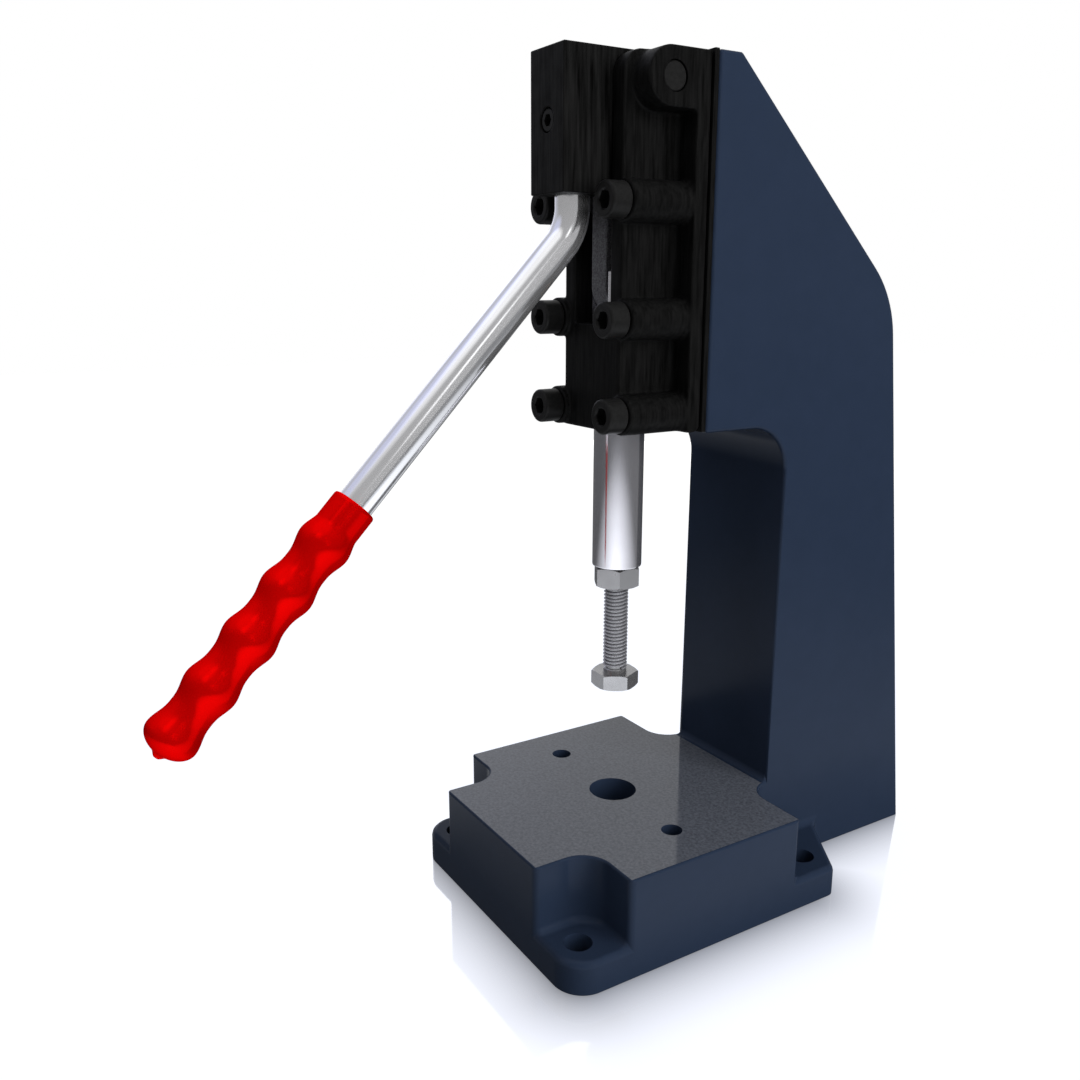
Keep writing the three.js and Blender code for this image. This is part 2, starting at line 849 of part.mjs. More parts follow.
function assembleBody() {
  const body = new THREE.Group();
  const pivotPinLength = 2 * (halfFlange - linkage.pivotPinRecess);
  const pivotPin = makePin(linkage.pivotPinDiameter, pivotPinLength, smallRoundFacets);
  body.add(
    piece("press_frame", makeFrame(), navyPaint),
    piece("backing_plate", makePlate(), blackSteel),
    piece("clamp_housing", makeHousing(), blackCasting),
    piece("ram_guide_bush", makeGuideBush(), bronze, [0, 0, housingBottomZ + guideBush.setback]),
    piece("main_pivot_pin", pivotPin, blackSteel, [0, 0, pivotZ])
  );
  for (const [row, rowZ] of Object.entries(screwRows)) {
    for (const [side, columnX] of Object.entries(screwColumns)) {
      const screw = piece(
        `cap_screw_${row}_${side}`, makeCapScrew(), blackSteel, [columnX, headSeatY, rowZ]
      );
      screw.rotation.x = -Math.PI / 2;
      body.add(screw);
    }
  }
  return body;
}

function assembleLever() {
  const lever = new THREE.Group();
  lever.position.z = pivotZ;
  const jointPlace = [0, 0, -linkage.arm];
  const jointPinLength = leverBlock.width - 2 * linkage.jointPinSetback;
  const leverBush = makeBush(linkage.pivotPinDiameter, leverBlock.bushWall, leverBlock.width);
  const screw = piece("rod_set_screw", makeSetScrew(), blackSteel);
  screw.rotation.x = -Math.PI / 2;
  screw.position.z = -leverBlock.setScrewDrop;
  const handle = new THREE.Group();
  handle.position.set(0, leverBlock.rodAxisY, -bendDrop);
  handle.rotation.x = Math.PI - leverRod.bendAngle;
  handle.add(piece("hand_grip", makeGrip(), redVinyl, [0, 0, grip.start]));
  lever.add(
    piece("lever_block", makeLeverBlock(), blackCasting),
    piece("lever_bush", leverBush, bronze),
    piece("lever_rod", makeLeverRod(), brightChrome),
    piece("link_pin", makePin(linkage.jointPinDiameter, jointPinLength), groundSteel, jointPlace),
    screw,
    handle
  );
  return lever;
}

function assembleLink() {
  const group = new THREE.Group();
  group.position.z = pivotZ - linkage.arm;
  const ramPinLength = ram.diameter - 2 * linkage.jointPinSetback;
  const linkBush = makeBush(linkage.jointPinDiameter, link.bushWall, link.thickness);
  group.add(
    piece("toggle_link", makeLink(), castLink),
    piece("link_bush", linkBush, bronze),
    piece(
      "ram_pin", makePin(linkage.jointPinDiameter, ramPinLength), groundSteel,
      [0, 0, -linkage.arm]
    )
  );
  return group;
}

function assembleRam() {
  const group = new THREE.Group();
  group.position.z = ramBottomZ;
  group.add(
    piece("ram", makeRam(), groundSteel),
    piece("lock_nut", makeLockNut(), zincSteel, [0, 0, -seatGap]),
    piece("spindle_bolt", makeSpindle(), zincSteel, [0, 0, -spindle.projection])
  );
  return group;
}

const press = new THREE.Group();
press.position.y = -(frame.frontY + frame.columnRearY) / 2;
press.add(assembleBody(), assembleLever(), assembleLink(), assembleRam());

const togglePress = new THREE.Group();
togglePress.add(press);

export default togglePress;
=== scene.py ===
"""Looks of the manual toggle press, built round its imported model.

Forms are drawn in millimetres from the foot of the ram's axis on the bench, with +X to the
operator's right and the operator on the -Y side, and are moved to the model's frame at the end.
"""

import math

import bmesh
import bpy
from bpy.props import FloatProperty, FloatVectorProperty, IntProperty, PointerProperty
from mathutils import Matrix, Vector


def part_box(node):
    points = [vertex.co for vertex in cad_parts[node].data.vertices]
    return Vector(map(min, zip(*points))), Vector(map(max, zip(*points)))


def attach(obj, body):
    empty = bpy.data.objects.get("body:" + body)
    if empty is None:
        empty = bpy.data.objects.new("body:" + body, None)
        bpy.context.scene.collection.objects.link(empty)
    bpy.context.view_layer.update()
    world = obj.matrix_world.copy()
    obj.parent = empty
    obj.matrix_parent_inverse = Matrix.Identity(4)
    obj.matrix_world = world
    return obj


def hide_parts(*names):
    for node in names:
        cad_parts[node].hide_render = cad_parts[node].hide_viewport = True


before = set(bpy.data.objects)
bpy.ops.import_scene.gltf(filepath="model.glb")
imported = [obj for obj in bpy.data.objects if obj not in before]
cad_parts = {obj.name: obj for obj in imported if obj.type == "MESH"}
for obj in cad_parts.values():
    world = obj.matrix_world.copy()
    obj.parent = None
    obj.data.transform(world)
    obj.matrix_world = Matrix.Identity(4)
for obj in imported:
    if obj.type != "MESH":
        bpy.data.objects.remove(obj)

bl_info = {
    "name": "Toggle Press",
    "version": (1, 0, 0),
    "blender": (4, 5, 0),
    "location": "3D View > Sidebar > Toggle Press",
    "description": "Builds the visible pieces of a manual toggle press and its studio",
    "category": "Object",
}

MILLIMETRE = 0.001
ARC_STEP = math.radians(4)
# Edges that are sharper than this get rounded, and shading stays sharp above the second angle
ROUNDED_ANGLE = math.radians(28)
SHARP_ANGLE = math.radians(40)
# Points nearer than this are one point, and faces that turn less than this are one face
SAME_PLACE = 0.002
SAME_FLAT = math.radians(0.4)
# How far a cutting form and a cutting cone reach past the piece, and the play between pieces
OVERRUN = 2.0
SKIM = 0.1
PLAY = 0.3


def middle_y(node):
    low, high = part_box(node)
    return (low.y + high.y) / 2


RAM_Y = middle_y("lock_nut")
TO_MODEL = Matrix.Translation((0, RAM_Y, 0)) @ Matrix.Scale(MILLIMETRE, 4)


# Outlines


def rounded_outline(corners):
    """Outline through corners of (x, y) or (x, y, radius), each round corner as an arc."""
    points = []
    for i, (x, y, *radii) in enumerate(corners):
        corner = Vector((x, y))
        if not radii:
            points.append(corner)
            continue
        radius = radii[0]
        before = (Vector(corners[i - 1][:2]) - corner).normalized()
        after = (Vector(corners[(i + 1) % len(corners)][:2]) - corner).normalized()
        half_angle = before.angle(after) / 2
        centre = corner + (before + after).normalized() * radius / math.sin(half_angle)
        spoke = corner + before * radius / math.tan(half_angle) - centre
        turn = math.copysign(1, after.x * before.y - after.y * before.x)
        sweep = math.pi - 2 * half_angle
        steps = max(2, math.ceil(sweep / ARC_STEP))
        for step in range(steps + 1):
            points.append(centre + Matrix.Rotation(turn * sweep * step / steps, 2) @ spoke)
    return [Vector((round(point.x, 4), round(point.y, 4))) for point in points]


def mirrored_outline(*right):
    """Outline through corners on the right and their mirror images on the left."""
    left = [(-x, *rest) for x, *rest in reversed(right)]
    return rounded_outline([left[-1], *right, *left[:-1]])


def circle(radius, centre=(0, 0), facets=64):
    return [
        Vector(centre) + Vector((math.cos(angle), math.sin(angle))) * radius
        for angle in (2 * math.pi * i / facets for i in range(facets))
    ]


def hexagon(across_flats, centre=(0, 0), turn=0.0):
    """Hexagon with a corner along the first axis, or turned from it by an angle in degrees."""
    corners = circle(across_flats / 2 / math.cos(math.pi / 6), facets=6)
    turning = Matrix.Rotation(math.radians(turn), 2)
    return [Vector(centre) + turning @ corner for corner in corners]


# Solids

LAYOUTS = {
    "x": lambda point, height: (height, point[0], point[1]),
    "y": lambda point, height: (point[0], height, point[1]),
    "z": lambda point, height: (point[0], point[1], height),
}


def prism(outline, axis, low, high):
    """Closed solid with the outline's section along an axis, from one height to another."""
    mesh = bmesh.new()
    rings = [
        [mesh.verts.new(LAYOUTS[axis](point, height)) for point in outline]
        for height in (low, high)
    ]
    add_band(mesh, *rings)
    for ring in rings:
        mesh.faces.new(ring)
    return as_form(mesh)


def add_band(mesh, lower, upper):
    """Faces between two rings of the same number of points."""
    for i in range(len(lower)):
        after = (i + 1) % len(lower)
        mesh.faces.new((lower[i], lower[after], upper[after], upper[i]))


def cross_bar(outline, half_width):
    """Solid across the press, to the same distance on both sides of its middle plane."""
    return prism(outline, "x", -half_width, half_width)


def turned(profile, axis="z", centre=(0, 0), facets=72):
    """Closed solid of revolution through points of (radius, height) along an axis."""
    mesh = bmesh.new()
    rings = []
    for radius, height in profile:
        ring = circle(radius, centre, facets) if radius else [centre]
        rings.append([mesh.verts.new(LAYOUTS[axis](point, height)) for point in ring])
    if profile[0][0]:
        rings.append(rings[0])
    for lower, upper in zip(rings, rings[1:]):
        if len(lower) == len(upper) == 1:
            continue
        for i in range(facets):
            after = (i + 1) % facets
            corners = [lower[i % len(lower)], lower[after % len(lower)]]
            corners += [upper[after % len(upper)], upper[i % len(upper)]]
            mesh.faces.new(list(dict.fromkeys(corners)))
    return as_form(mesh)


def as_form(mesh):
    """Loose Blender object for a mesh, still in millimetres."""
    bmesh.ops.recalc_face_normals(mesh, faces=mesh.faces)
    data = bpy.data.meshes.new("form")
    mesh.to_mesh(data)
    mesh.free()
    form = bpy.data.objects.new("form", data)
    bpy.context.scene.collection.objects.link(form)
    return form


def add_step(form, kind, **settings):
    """Modifier on a form, with its settings."""
    step = form.modifiers.new(kind.lower(), kind)
    for name, value in settings.items():
        setattr(step, name, value)


def settle(form):
    """Applies a form's modifiers to its mesh."""
    graph = bpy.context.evaluated_depsgraph_get()
    settled = bpy.data.meshes.new_from_object(form.evaluated_get(graph))
    old = form.data
    form.modifiers.clear()
    form.data = settled
    bpy.data.meshes.remove(old)
    return form


def combine(form, operation, others, merge=True):
    """Joins other forms to a form, cuts them out of it, or keeps what all have in common.

    Flat faces that got split are merged again, unless merge is off.
    """
    for other in others:
        add_step(form, "BOOLEAN", operation=operation, solver="EXACT", object=other)
    settle(form)
    for other in others:
        data = other.data
        bpy.data.objects.remove(other)
        bpy.data.meshes.remove(data)
    if merge:
        merge_flat_faces(form)
    return form


def join(form, *others):
    return combine(form, "UNION", others)


def cut(form, *others):
    return combine(form, "DIFFERENCE", others)


def keep_common(form, *others):
    return combine(form, "INTERSECT", others)


def merge_flat_faces(form):
    mesh = bmesh.new()
    mesh.from_mesh(form.data)
    bmesh.ops.remove_doubles(mesh, verts=mesh.verts, dist=SAME_PLACE)
    bmesh.ops.dissolve_limit(mesh, angle_limit=SAME_FLAT, verts=mesh.verts, edges=mesh.edges)
    mesh.to_mesh(form.data)
    mesh.free()


def round_edges(form, radius_of, segments=3):
    """Rounds each sharp edge by the radius that radius_of gives for it.

    radius_of is asked with the edge's middle, its direction and whether it is an outer edge.
    """
    mesh = bmesh.new()
    mesh.from_mesh(form.data)
    weights = mesh.edges.layers.float.new("bevel_weight_edge")
    radii = {}
    for edge in mesh.edges:
        if len(edge.link_faces) == 2 and edge.calc_face_angle(0) > ROUNDED_ANGLE:
            low, high = edge.verts[0].co, edge.verts[1].co
            radius = radius_of((low + high) / 2, (high - low).normalized(), edge.is_convex)
            if radius > 0:
                radii[edge] = radius
    widest = max(radii.values())
    for edge, radius in radii.items():
        edge[weights] = radius / widest
    mesh.to_mesh(form.data)
    mesh.free()
    add_step(
        form, "BEVEL", limit_method="WEIGHT", width=widest, segments=segments,
        use_clamp_overlap=False, loop_slide=True,
    )
    return settle(form)


def finish_piece(form, name, body, nodes, slot, *finishes):
    """Turns a form into a piece of the press that stands for CAD nodes.

    Its shading is smooth, and its large flat faces keep their own normals.
    """
    form.data.shade_smooth()
    form.data.set_sharp_from_angle(angle=SHARP_ANGLE)
    add_step(form, "WEIGHTED_NORMAL", keep_sharp=True)
    settle(form)
    form.data.transform(TO_MODEL)
    form.name = name
    form.data.name = name
    form.data.materials.clear()
    for finish in finishes:
        form.data.materials.append(bpy.data.materials.get(finish) or FINISHES[finish](finish))
    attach(form, body)
    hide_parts(*nodes)
    return form


# Shader nodes

MEASURES = ("LENGTH", "DISTANCE", "DOT_PRODUCT")


def add_node(tree, kind, inputs, **settings):
    """Node with its settings, and with inputs that are linked or hold a plain value."""
    node = tree.nodes.new(kind)
    for name, value in settings.items():
        setattr(node, name, value)
    for place, value in inputs.items():
        if isinstance(value, bpy.types.NodeSocket):
            tree.links.new(value, node.inputs[place])
        else:
            node.inputs[place].default_value = value
    return node


def object_place(tree):
    return add_node(tree, "ShaderNodeTexCoord", {}).outputs["Object"]


def add_split(tree, vector):
    """The X, Y and Z of a vector."""
    return add_node(tree, "ShaderNodeSeparateXYZ", {"Vector": vector}).outputs


def add_joined(tree, **parts):
    return add_node(tree, "ShaderNodeCombineXYZ", parts).outputs["Vector"]


def add_noise(tree, place, scale, detail, roughness=0.55):
    inputs = {"Vector": place, "Scale": scale, "Detail": detail, "Roughness": roughness}
    return add_node(tree, "ShaderNodeTexNoise", inputs).outputs["Fac"]


def add_ramp(tree, value, low, high, to_low=0.0, to_high=1.0):
    """Value that goes evenly from one end to the other, and stays there outside them."""
    inputs = {
        "Value": value, "From Min": low, "From Max": high, "To Min": to_low, "To Max": to_high,
    }
    return add_node(tree, "ShaderNodeMapRange", inputs).outputs["Result"]


def add_mix(tree, factor, first, second):
    """Mix of two colours. The node has sockets of the same names for other kinds of data."""
    inputs = {0: factor, 6: first, 7: second}
    return add_node(tree, "ShaderNodeMix", inputs, data_type="RGBA").outputs[2]


def add_math(tree, operation, first, second):
    inputs = {0: first, 1: second}
    return add_node(tree, "ShaderNodeMath", inputs, operation=operation).outputs["Value"]


def add_sum(tree, first, second):
    return add_math(tree, "ADD", first, second)


def add_product(tree, first, second):
    return add_math(tree, "MULTIPLY", first, second)


def add_vector(tree, operation, *vectors):
    """Vector from one or two others, or a number where the operation measures them."""
    node = add_node(tree, "ShaderNodeVectorMath", dict(enumerate(vectors)), operation=operation)
    return node.outputs["Value" if operation in MEASURES else "Vector"]


# Shader groups

TONE_OUTPUTS = {"Color": "NodeSocketColor", "Mask": "NodeSocketFloat"}


def new_group(name, inputs, outputs):
    """Shader group, with the defaults of its inputs and the kinds of its outputs."""
    group = bpy.data.node_groups.new(name, "ShaderNodeTree")
    for label, default in inputs.items():
        kind = "NodeSocketColor" if isinstance(default, tuple) else "NodeSocketFloat"
        made = group.interface.new_socket(name=label, in_out="INPUT", socket_type=kind)
        made.default_value = default
    for label, kind in outputs.items():
        group.interface.new_socket(name=label, in_out="OUTPUT", socket_type=kind)
    given = group.nodes.new("NodeGroupInput").outputs
    return group, given, group.nodes.new("NodeGroupOutput").inputs


def put_out_tones(group, given, results, pattern, low, high):
    """Puts out a pattern as a mask and as the group's two tones."""
    mask = add_ramp(group, pattern, low, high)
    color = add_mix(group, mask, given["Dark"], given["Light"])
    group.links.new(color, results["Color"])
    group.links.new(mask, results["Mask"])


def speckle_group():
    """Fine light and dark grains, as on a ground or blasted metal surface."""
    inputs = {"Dark": (0.1, 0.1, 0.1, 1), "Light": (0.2, 0.2, 0.2, 1), "Grains per metre": 1500.0}
    group, given, results = new_group("Speckle", inputs, TONE_OUTPUTS)
    grain = add_noise(
        group, object_place(group), given["Grains per metre"], detail=2.0, roughness=0.7
    )
    put_out_tones(group, given, results, grain, low=0.3, high=0.7)
    return group


def streak_group():
    """Streaks drawn out along Z, as a rolled or blackened surface has."""
    inputs = {
        "Dark": (0.01, 0.01, 0.01, 1), "Light": (0.03, 0.03, 0.03, 1),
        "Streaks per metre": 400.0, "Stretch": 0.06,
    }
    group, given, results = new_group("Vertical streaks", inputs, TONE_OUTPUTS)
    place = add_split(group, object_place(group))
    drawn_out = add_joined(
        group, X=place["X"], Y=place["Y"], Z=add_product(group, place["Z"], given["Stretch"])
    )
    streaks = add_noise(group, drawn_out, given["Streaks per metre"], detail=3.0)
    put_out_tones(group, given, results, streaks, low=0.32, high=0.68)
    return group


def haze_group():
    """Slow changes of gloss over a surface, as handling leaves."""
    inputs = {"Clear": 0.1, "Dull": 0.2, "Patches per metre": 60.0}
    group, given, results = new_group("Haze", inputs, {"Roughness": "NodeSocketFloat"})
    patches = add_noise(group, object_place(group), given["Patches per metre"], detail=5.0)
    share = add_ramp(group, patches, low=0.35, high=0.7)
    gloss = add_ramp(group, share, 0.0, 1.0, given["Clear"], given["Dull"])
    group.links.new(gloss, results["Roughness"])
    return group


GROUP_MAKERS = {"Speckle": speckle_group, "Vertical streaks": streak_group, "Haze": haze_group}


def place_group(tree, name, **values):
    """Outputs of a shader group in a material, with the inputs that are given by name."""
    group = bpy.data.node_groups.get(name) or GROUP_MAKERS[name]()
    inputs = {label.replace("_", " "): value for label, value in values.items()}
    return add_node(tree, "ShaderNodeGroup", inputs, node_tree=group).outputs


# Materials

# Depths of relief, in metres
SKIN_RELIEF = 0.000003
CASTING_RELIEF = 0.00002
GRAIN_RELIEF = 0.00003
# Share of a bright metal's tint that its darker patches have
BRIGHT_DARK_SHARE = 0.93


def new_material(name, roughness, metallic=0.0, specular=0.5):
    material = bpy.data.materials.new(name)
    material.use_nodes = True
    shader = material.node_tree.nodes["Principled BSDF"]
    shader.inputs["Roughness"].default_value = roughness
    shader.inputs["Metallic"].default_value = metallic
    shader.inputs["Specular IOR Level"].default_value = specular
    return material, material.node_tree, shader


def rgba(color):
    return (*color, 1.0)


def tones(name):
    """Dark and light tone of a finish, from the settings."""
    colours = bpy.context.scene.toggle_press_colours
    return [rgba(getattr(colours, f"{name}_{tone}")) for tone in ("dark", "light")]


def add_haze(tree, shader, clear, dull, patches):
    haze = place_group(tree, "Haze", Clear=clear, Dull=dull, Patches_per_metre=patches)
    tree.links.new(haze["Roughness"], shader.inputs["Roughness"])


def add_tones(tree, shader, pattern, dark, light, relief=None, **scales):
    """Colours a shader by a pattern of two tones, and may raise the pattern too."""
    group = place_group(tree, pattern, Dark=dark, Light=light, **scales)
    tree.links.new(group["Color"], shader.inputs["Base Color"])
    if relief:
        add_relief(tree, shader, group["Mask"], relief)


def add_relief(tree, shader, height, depth):
    bump = add_node(
        tree, "ShaderNodeBump", {"Strength": 1.0, "Distance": depth, "Height": height}
    )
    tree.links.new(bump.outputs["Normal"], shader.inputs["Normal"])


def add_skin(tree, shader, grains):
    """Faint unevenness of a painted or dipped skin."""
    skin = place_group(tree, "Speckle", Grains_per_metre=grains)
    add_relief(tree, shader, skin["Mask"], SKIN_RELIEF)


def navy_paint(name):
    """Paint of two near tones, with faint orange peel."""
    material, tree, shader = new_material(name, roughness=0.22, specular=0.05)
    add_tones(tree, shader, "Speckle", *tones("paint"), Grains_per_metre=90.0)
    add_haze(tree, shader, clear=0.2, dull=0.24, patches=35.0)
    add_skin(tree, shader, grains=420.0)
    return material


def ground_table(name):
    """Bare iron of the machined table."""
    material, tree, shader = new_material(name, roughness=0.08, specular=0.22)
    add_tones(tree, shader, "Speckle", *tones("table"), Grains_per_metre=800.0)
    add_haze(tree, shader, clear=0.05, dull=0.1, patches=50.0)
    return material


def black_casting(name):
    """Blackened casting of the housing."""
    material, tree, shader = new_material(name, roughness=0.55, specular=0.05)
    add_tones(
        tree, shader, "Vertical streaks", *tones("casting"), CASTING_RELIEF,
        Streaks_per_metre=900.0, Stretch=0.08,
    )
    add_haze(tree, shader, clear=0.45, dull=0.65, patches=120.0)
    return material


def grained_block(name):
    """Upright grain of the lever block."""
    material, tree, shader = new_material(name, roughness=0.5, specular=0.05)
    add_tones(
        tree, shader, "Vertical streaks", *tones("block"), GRAIN_RELIEF,
        Streaks_per_metre=650.0, Stretch=0.06,
    )
    add_haze(tree, shader, clear=0.4, dull=0.6, patches=150.0)
    return material


def black_oxide(name):
    """Blackened steel of the screws and the main pivot pin."""
    material, tree, shader = new_material(name, roughness=0.4, specular=0.08)
    add_tones(tree, shader, "Speckle", *tones("screw"), Grains_per_metre=700.0)
    add_haze(tree, shader, clear=0.34, dull=0.5, patches=200.0)
    return material


def cast_grey(name):
    """Coarse grey surface of the link."""
    material, tree, shader = new_material(name, roughness=0.5, specular=0.3)
    add_tones(tree, shader, "Speckle", *tones("link"), GRAIN_RELIEF, Grains_per_metre=1500.0)
    add_haze(tree, shader, clear=0.42, dull=0.6, patches=200.0)
    return material


def bright_metal(name, color, clear, dull, patches, metallic=0.85):
    """Bright metal with slow haze."""
    material, tree, shader = new_material(name, roughness=clear, metallic=metallic)
    darker = rgba([BRIGHT_DARK_SHARE * part for part in color])
    add_tones(tree, shader, "Speckle", darker, rgba(color), Grains_per_metre=45.0)
    add_haze(tree, shader, clear, dull, patches)
    return material


def bright_chrome(name):
    color = bpy.context.scene.toggle_press_colours.chrome
    return bright_metal(name, color, clear=0.13, dull=0.17, patches=40.0)


def ground_steel(name):
    color = bpy.context.scene.toggle_press_colours.steel
    return bright_metal(name, color, clear=0.11, dull=0.14, patches=60.0)


def zinc_steel(name):
    color = bpy.context.scene.toggle_press_colours.zinc
    return bright_metal(name, color, clear=0.26, dull=0.34, patches=180.0, metallic=0.68)


def bearing_bronze(name):
    color = bpy.context.scene.toggle_press_colours.bronze
    return bright_metal(name, color, clear=0.3, dull=0.45, patches=200.0)


def thread_steel(name):
    """Zinc with painted shade down in the thread's grooves: the colour darkens from the crests
    towards the root.
    """
    colours = bpy.context.scene.toggle_press_colours
    material, tree, shader = new_material(name, roughness=0.55, metallic=0.5)
    place = add_split(tree, object_place(tree))
    flat = add_joined(tree, X=place["X"], Y=place["Y"])
    radius = add_vector(tree, "DISTANCE", flat, (0, RAM_Y, 0))
    # Painted shade: darker from the crest radius down to near the root of the thread
    crest = add_ramp(tree, radius, GROOVE_SHADE_RADIUS * MILLIMETRE, SPINDLE_RADIUS * MILLIMETRE)
    color = add_mix(tree, crest, rgba(colours.thread_groove_painted_shade), rgba(colours.thread_crest))
    tree.links.new(color, shader.inputs["Base Color"])
    add_haze(tree, shader, clear=0.5, dull=0.6, patches=180.0)
    return material


def red_vinyl(name):
    """Glossy red skin with a deep sheen."""
    material, tree, shader = new_material(name, roughness=0.2, metallic=0.22, specular=0.0)
    add_tones(tree, shader, "Speckle", *tones("vinyl"), Grains_per_metre=60.0)
    rim = bpy.context.scene.toggle_press_colours.vinyl_rim
    shader.inputs["Specular Tint"].default_value = rgba(rim)
    add_haze(tree, shader, clear=0.18, dull=0.22, patches=80.0)
    add_skin(tree, shader, grains=260.0)
    return material


FINISHES = {
    "Navy paint": navy_paint,
    "Ground table": ground_table,
    "Black casting": black_casting,
    "Grained block": grained_block,
    "Black oxide steel": black_oxide,
    "Cast grey": cast_grey,
    "Bright chrome": bright_chrome,
    "Ground steel": ground_steel,
    "Zinc steel": zinc_steel,
    "Thread steel": thread_steel,
    "Bearing bronze": bearing_bronze,
    "Red vinyl": red_vinyl,
}


# Settings


def tone(name, description, default):
    return FloatVectorProperty(
        name=name, description=description, subtype="COLOR", min=0, max=1, default=default
    )


def power(name, description, default):
    return FloatProperty(
        name=name, description=description, subtype="POWER", min=0, default=default
    )


class TogglePressColours(bpy.types.PropertyGroup):
    """Colours of the press. A surface that varies has a dark and a light tone."""

    paint_dark: tone(
        name="Paint, dark", description="Dark tone of the frame's paint",
        default=(0.0205, 0.0325, 0.0610),
    )
    paint_light: tone(
        name="Paint, light", description="Light tone of the frame's paint",
        default=(0.0220, 0.0345, 0.0650),
    )
    table_dark: tone(
        name="Table, dark", description="Dark grains of the ground table",
        default=(0.074, 0.081, 0.101),
    )
    table_light: tone(
        name="Table, light", description="Light grains of the ground table",
        default=(0.134, 0.147, 0.178),
    )
    casting_dark: tone(
        name="Casting, dark", description="Dark streaks of the black casting",
        default=(0.0018, 0.0018, 0.0018),
    )
    casting_light: tone(
        name="Casting, light", description="Light streaks of the black casting",
        default=(0.0078, 0.0078, 0.0078),
    )
    block_dark: tone(
        name="Block, dark", description="Dark grain of the lever block",
        default=(0.0010, 0.0010, 0.0010),
    )
    block_light: tone(
        name="Block, light", description="Light grain of the lever block",
        default=(0.0110, 0.0110, 0.0110),
    )
    screw_dark: tone(
        name="Screws, dark", description="Dark tone of the black screws",
        default=(0.0090, 0.0090, 0.0090),
    )
    screw_light: tone(
        name="Screws, light", description="Light tone of the black screws",
        default=(0.0135, 0.0135, 0.0135),
    )
    link_dark: tone(
        name="Link, dark", description="Dark grains of the link", default=(0.050, 0.050, 0.057)
    )
    link_light: tone(
        name="Link, light", description="Light grains of the link", default=(0.19, 0.19, 0.205)
    )
    chrome: tone(
        name="Chrome", description="Tint of the lever rod", default=(0.86, 0.86, 0.88)
    )
    steel: tone(
        name="Steel", description="Tint of the ground ram and pins", default=(0.55, 0.54, 0.57)
    )
    zinc: tone(
        name="Zinc", description="Tint of the spindle and its nut", default=(0.305, 0.305, 0.312)
    )
    # Painted shade: the dark tone painted into the grooves of the spindle's thread
    thread_groove_painted_shade: tone(
        name="Thread groove", description="Dark tone in the grooves of the spindle's thread",
        default=(0.14, 0.14, 0.155),
    )
    thread_crest: tone(
        name="Thread crest", description="Tint on the crests of the spindle's thread",
        default=(0.45, 0.45, 0.48),
    )
    bronze: tone(
        name="Bronze", description="Tint of the plain bearings", default=(0.44, 0.24, 0.08)
    )
    vinyl_dark: tone(
        name="Vinyl, dark", description="Dark tone of the grip", default=(0.78, 0.001, 0.001)
    )
    vinyl_light: tone(
        name="Vinyl, light", description="Light tone of the grip", default=(0.82, 0.001, 0.001)
    )
    vinyl_rim: tone(
        name="Vinyl, rim", description="Tone that the grip reflects along its outline",
        default=(0.20, 0.001, 0.001),
    )


class TogglePressSizes(bpy.types.PropertyGroup):
    """Sizes that the visible pieces add to the model, in millimetres."""

    casting_edge: FloatProperty(
        name="Frame edge", description="Rounding of the frame's outer edges, in mm",
        default=1.6, min=0.2, max=4,
    )
    casting_fillet: FloatProperty(
        name="Frame fillet", description="Fillet of the frame's inner corners, in mm",
        default=3.0, min=0.5, max=6,
    )
    foot_edge: FloatProperty(
        name="Foot edge", description="Rounding round the top of the foot, in mm",
        default=2.6, min=0.5, max=5,
    )
    table_edge: FloatProperty(
        name="Table edge", description="Rounding round the machined table, in mm",
        default=0.9, min=0.2, max=3,
    )
    housing_grid: FloatProperty(
        name="Housing grid", description="Grid on which the housing's edges are softened, in mm",
        default=0.5, min=0.3, max=1,
    )
    housing_softening: IntProperty(
        name="Housing softening", description="Rounds of smoothing of the housing's cast edges",
        default=10, min=0, max=60,
    )
    block_edge: FloatProperty(
        name="Block edge", description="Rounding of the lever block's edges, in mm",
        default=0.5, min=0.1, max=2,
    )
    link_edge: FloatProperty(
        name="Link edge", description="Rounding of the link's edges, in mm",
        default=0.8, min=0.1, max=2,
    )
    thread_pitch: FloatProperty(
        name="Thread pitch", description="Pitch of the spindle's thread, in mm",
        default=1.5, min=0.5, max=3,
    )
    thread_depth: FloatProperty(
        name="Thread depth", description="Depth of the spindle's thread, in mm",
        default=0.92, min=0.3, max=1.5,
    )


